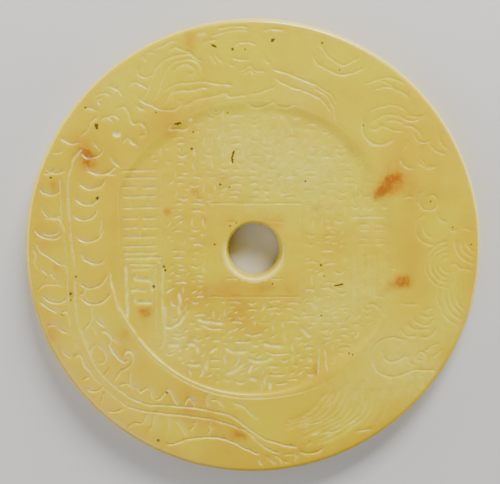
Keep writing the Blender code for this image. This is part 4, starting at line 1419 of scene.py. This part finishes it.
def build_skin():
    """The front and the back face, joined by the rim outside and the hole's wall inside."""
    skin = Skin()
    front_face = skin.add_points([(x, y, z) for (x, y), z in zip(front_net, front_heights)],
                                 front_values)
    skin.faces.extend(front_triangles)
    back_net = back_points()
    back_base = len(skin.points)
    back_heights = [BACK_LINE_DEPTH * bell(math.hypot(x, y) - BACK_LINE_RADIUS, BACK_LINE_HALF)
                    for x, y in back_net]
    back_face = skin.add_points([(x, y, z) for (x, y), z in zip(back_net, back_heights)])
    for a, b, c in triangulated(back_net, HOLE_RING):
        skin.faces.append((back_base + a, back_base + c, back_base + b))

    rim_rows = list(rounded_rows(RADIUS - RIM_ROUND, THICKNESS - RIM_ROUND, RIM_ROUND,
                                 90, 0, 7))[1:]
    rim_rows += [(RADIUS, THICKNESS * 0.5)]
    rim_rows += list(rounded_rows(RADIUS - BACK_ROUND, BACK_ROUND, BACK_ROUND, 0, -90, 5))[:-1]
    above = front_face[:RIM_POINTS]
    for radius, height in rim_rows:
        ring = skin.add_ring(radius, height, RIM_POINTS)
        skin.join(above, ring)
        above = ring
    skin.join(above, back_face[:RIM_POINTS])

    hole_rows = list(rounded_rows(HOLE_FRONT + HOLE_LIP, THICKNESS - STEP_DEPTH - HOLE_LIP,
                                  HOLE_LIP, 90, 180, 5))[1:]
    hole_rows += [(HOLE_FRONT - 0.0004, THICKNESS * 0.62), (HOLE_BACK + 0.0002, THICKNESS * 0.3)]
    hole_rows += list(rounded_rows(HOLE_BACK + HOLE_LIP, HOLE_LIP, HOLE_LIP, 180, 270, 4))[:-1]
    above = front_face[HOLE_RING.start:HOLE_RING.stop]
    for radius, height in hole_rows:
        ring = skin.add_ring(radius, height, HOLE_POINTS)
        skin.join(ring, above)
        above = ring
    skin.join(back_face[HOLE_RING.start:HOLE_RING.stop], above)
    return skin


skin = build_skin()
mesh = bpy.data.meshes.new("carved_disc")
mesh.from_pydata(skin.points, [], skin.faces)
for label, values in skin.values.items():
    mesh.attributes.new(label, "FLOAT", "POINT").data.foreach_set("value", values)
mesh.materials.append(jade)
mesh.shade_smooth()
mesh.update()
disc = bpy.data.objects.new("carved_disc", mesh)
bpy.context.scene.collection.objects.link(disc)
print("points", len(mesh.vertices), "faces", len(mesh.polygons))

# %% Check that the skin is closed and faces outward
def skin_report(mesh):
    """Counts open and turned edges, and measures the volume and the triangles."""
    bm = bmesh.new()
    bm.from_mesh(mesh)
    loose = sum(1 for edge in bm.edges if len(edge.link_faces) != 2)
    turned = sum(1 for edge in bm.edges if not edge.is_contiguous)
    volume = bm.calc_volume(signed=True)
    triangles = sum(len(face.verts) - 2 for face in bm.faces)
    bm.free()
    return loose, turned, volume, triangles


loose, turned, volume, triangles = skin_report(mesh)
print("open edges", loose, "turned edges", turned, "volume in cm3", round(volume * 1e6, 1),
      "triangles", triangles)

# %% [markdown]
# The stone
# Jade is hard to fake with one colour. Light goes in, scatters and comes out again, so the
# shader gets some subsurface. Its yellow comes in clouds of three sizes of noise, rust
# follows the stains, specks are nearly black, and the cuts are matt and pale, because no
# polish ever reached them. The stains' amber also paints the shadow along the top of the
# medallion's step, the honey paints shade on the rim, and the cuts' pale paints highlights
# on the rim, the hole's lip and the step's edge. Noise reads the object's own coordinates.

# %% Mix the jade
PALE = (0.675, 0.565, 0.000, 1.0)
YELLOW = (0.680, 0.500, 0.000, 1.0)
HONEY = (0.615, 0.415, 0.000, 1.0)
AMBER = (0.580, 0.335, 0.000, 1.0)
RUST = (0.415, 0.122, 0.000, 1.0)
SPECK_BROWN = (0.110, 0.075, 0.008, 1.0)
CUT_AND_HIGHLIGHT_PALE = (0.820, 0.710, 0.100, 1.0)
MILKY = (0.720, 0.650, 0.080, 1.0)
CUT_AND_HIGHLIGHT_WHITE = (0.920, 0.830, 0.290, 1.0)
POLISHED = 0.27
MATT = 0.45

jade.use_nodes = True
recipe = jade.node_tree
recipe.nodes.clear()
place = add_node(recipe, "ShaderNodeTexCoord").outputs["Object"]


def clouds(scale, detail, roughness=0.5, shift=0.0):
    """Soft noise in the stone, from 0 to 1, at so many clouds a metre."""
    moved = add_node(recipe, "ShaderNodeVectorMath",
                     {0: place, 1: (shift, shift * 0.7, shift * 1.3)}, operation="ADD")
    node = add_node(recipe, "ShaderNodeTexNoise", {
        "Vector": moved.outputs["Vector"], "Scale": scale, "Detail": detail,
        "Roughness": roughness})
    return node.outputs["Fac"]


def stretched(value, low, high, to_low=0.0, to_high=1.0):
    """A value spread softly from one range over another."""
    node = add_node(recipe, "ShaderNodeMapRange", {
        "Value": value, "From Min": low, "From Max": high, "To Min": to_low,
        "To Max": to_high}, interpolation_type="SMOOTHSTEP")
    return node.outputs["Result"]


def painted(factor, below, above):
    """One colour over another by a factor. Each may be a colour or another mix."""
    node = add_node(recipe, "ShaderNodeMix", {"Factor": factor}, data_type="RGBA")
    for name, colour in (("A", below), ("B", above)):
        feed(recipe, open_socket(node.inputs, name), colour)
    return open_socket(node.outputs)


def kept_value(label):
    """A value that was kept on the points of the skin."""
    return add_node(recipe, "ShaderNodeAttribute", attribute_name=label).outputs["Fac"]


wide = clouds(22.0, 3.0, shift=0.31)
middle = clouds(75.0, 4.0, shift=0.77)
small = clouds(420.0, 3.0, 0.6, shift=0.12)
colour = painted(stretched(wide, 0.38, 0.62), YELLOW, PALE)
colour = painted(stretched(middle, 0.46, 0.72, 0.0, 0.30), colour, HONEY)
colour = painted(stretched(small, 0.52, 0.74, 0.0, 0.28), colour, HONEY)
colour = painted(stretched(small, 0.26, 0.46, 0.10, 0.0), colour, MILKY)
# The kept honey also holds the painted shade on the rim.
honey = maths(recipe, "MULTIPLY", kept_value("honey"),
              stretched(middle, 0.30, 0.65, 0.60, 1.25))
colour = painted(honey, colour, HONEY)
uneven = stretched(clouds(260.0, 5.0, 0.70, shift=0.55), 0.30, 0.70, 0.65, 1.20)
rust_and_shadow = maths(recipe, "MULTIPLY", kept_value("stain_and_shadow"), uneven)
colour = painted(stretched(rust_and_shadow, 0.10, 0.75), colour, AMBER)
colour = painted(stretched(rust_and_shadow, 0.56, 1.12), colour, RUST)
milky = maths(recipe, "MULTIPLY", kept_value("milky"),
              stretched(clouds(340.0, 3.0, 0.6, shift=0.91), 0.38, 0.68, 0.45, 1.0))
colour = painted(milky, colour, MILKY)
cut_and_highlight_share = kept_value("cut")
colour = painted(stretched(cut_and_highlight_share, 0.0, 1.1, 0.0, 0.85), colour, CUT_AND_HIGHLIGHT_PALE)
colour = painted(stretched(cut_and_highlight_share, 1.15, 1.9), colour, CUT_AND_HIGHLIGHT_WHITE)
colour = painted(kept_value("speck"), colour, SPECK_BROWN)
bump = add_node(recipe, "ShaderNodeBump",
                {"Strength": 0.22, "Distance": 0.0004, "Height": clouds(480.0, 4.0, 0.6)})
stone = add_node(recipe, "ShaderNodeBsdfPrincipled", {
    "Base Color": colour, "Roughness": stretched(cut_and_highlight_share, 0.0, 0.8, POLISHED, MATT),
    "IOR": 1.61, "Subsurface Weight": 0.22, "Subsurface Radius": (1.0, 0.62, 0.22),
    "Subsurface Scale": 0.0014, "Normal": bump.outputs["Normal"]})
add_node(recipe, "ShaderNodeOutputMaterial", {"Surface": stone.outputs["BSDF"]})
print("nodes in the jade", len(recipe.nodes))

# %% [markdown]
# Floor and light
# A pale floor lies just under the disc. One long soft lamp stands beyond the top of the
# carving, so the grooves that run across its light show a bright wall and a dark one. A
# wide fill and a pale sky soften the rest, as a light tent does round a shiny thing.

# %% Lay the floor and set the lamps
floor_mesh = bpy.data.meshes.new("floor")
bm = bmesh.new()
bmesh.ops.create_grid(bm, x_segments=1, y_segments=1, size=1.5)
bm.to_mesh(floor_mesh)
bm.free()
floor = bpy.data.objects.new("floor", floor_mesh)
bpy.context.scene.collection.objects.link(floor)
floor.location.z = cad_low[2] - 0.0003
floor_coat = bpy.data.materials.new("pale_floor")
floor_coat.use_nodes = True
floor_shader = floor_coat.node_tree.nodes["Principled BSDF"]
floor_shader.inputs["Base Color"].default_value = (0.62, 0.61, 0.59, 1.0)
floor_shader.inputs["Roughness"].default_value = 0.8
floor_mesh.materials.append(floor_coat)

LAMPS = {
    "key": ((0.26, 0.84, 0.52), (0.50, 0.30), 18.6, (1.0, 0.98, 0.95)),
    "right": ((0.66, 0.10, 0.20), (0.25, 0.60), 2.8, (1.0, 0.98, 0.96)),
    "left": ((-0.62, 0.15, 0.20), (0.25, 0.60), 3.0, (1.0, 0.98, 0.96)),
    "fill": ((-0.40, -0.50, 0.55), (0.60, 0.60), 3.0, (0.98, 0.98, 1.0)),
}
for name, (place, size, power, tint) in LAMPS.items():
    data = bpy.data.lights.new(name, "AREA")
    data.shape = "RECTANGLE"
    data.size, data.size_y = size
    data.energy = power
    data.color = tint
    set_in_scene(name, data, Vector(place), Vector((0, 0, 0)))

world = bpy.data.worlds.new("studio")
world.use_nodes = True
sky = world.node_tree.nodes["Background"]
sky.inputs["Color"].default_value = (0.95, 0.97, 1.0, 1.0)
sky.inputs["Strength"].default_value = 0.12
bpy.context.scene.world = world
print("lamps", ", ".join(LAMPS))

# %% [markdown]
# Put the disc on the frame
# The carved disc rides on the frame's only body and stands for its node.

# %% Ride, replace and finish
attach(disc, "root")
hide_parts("jade_disc")
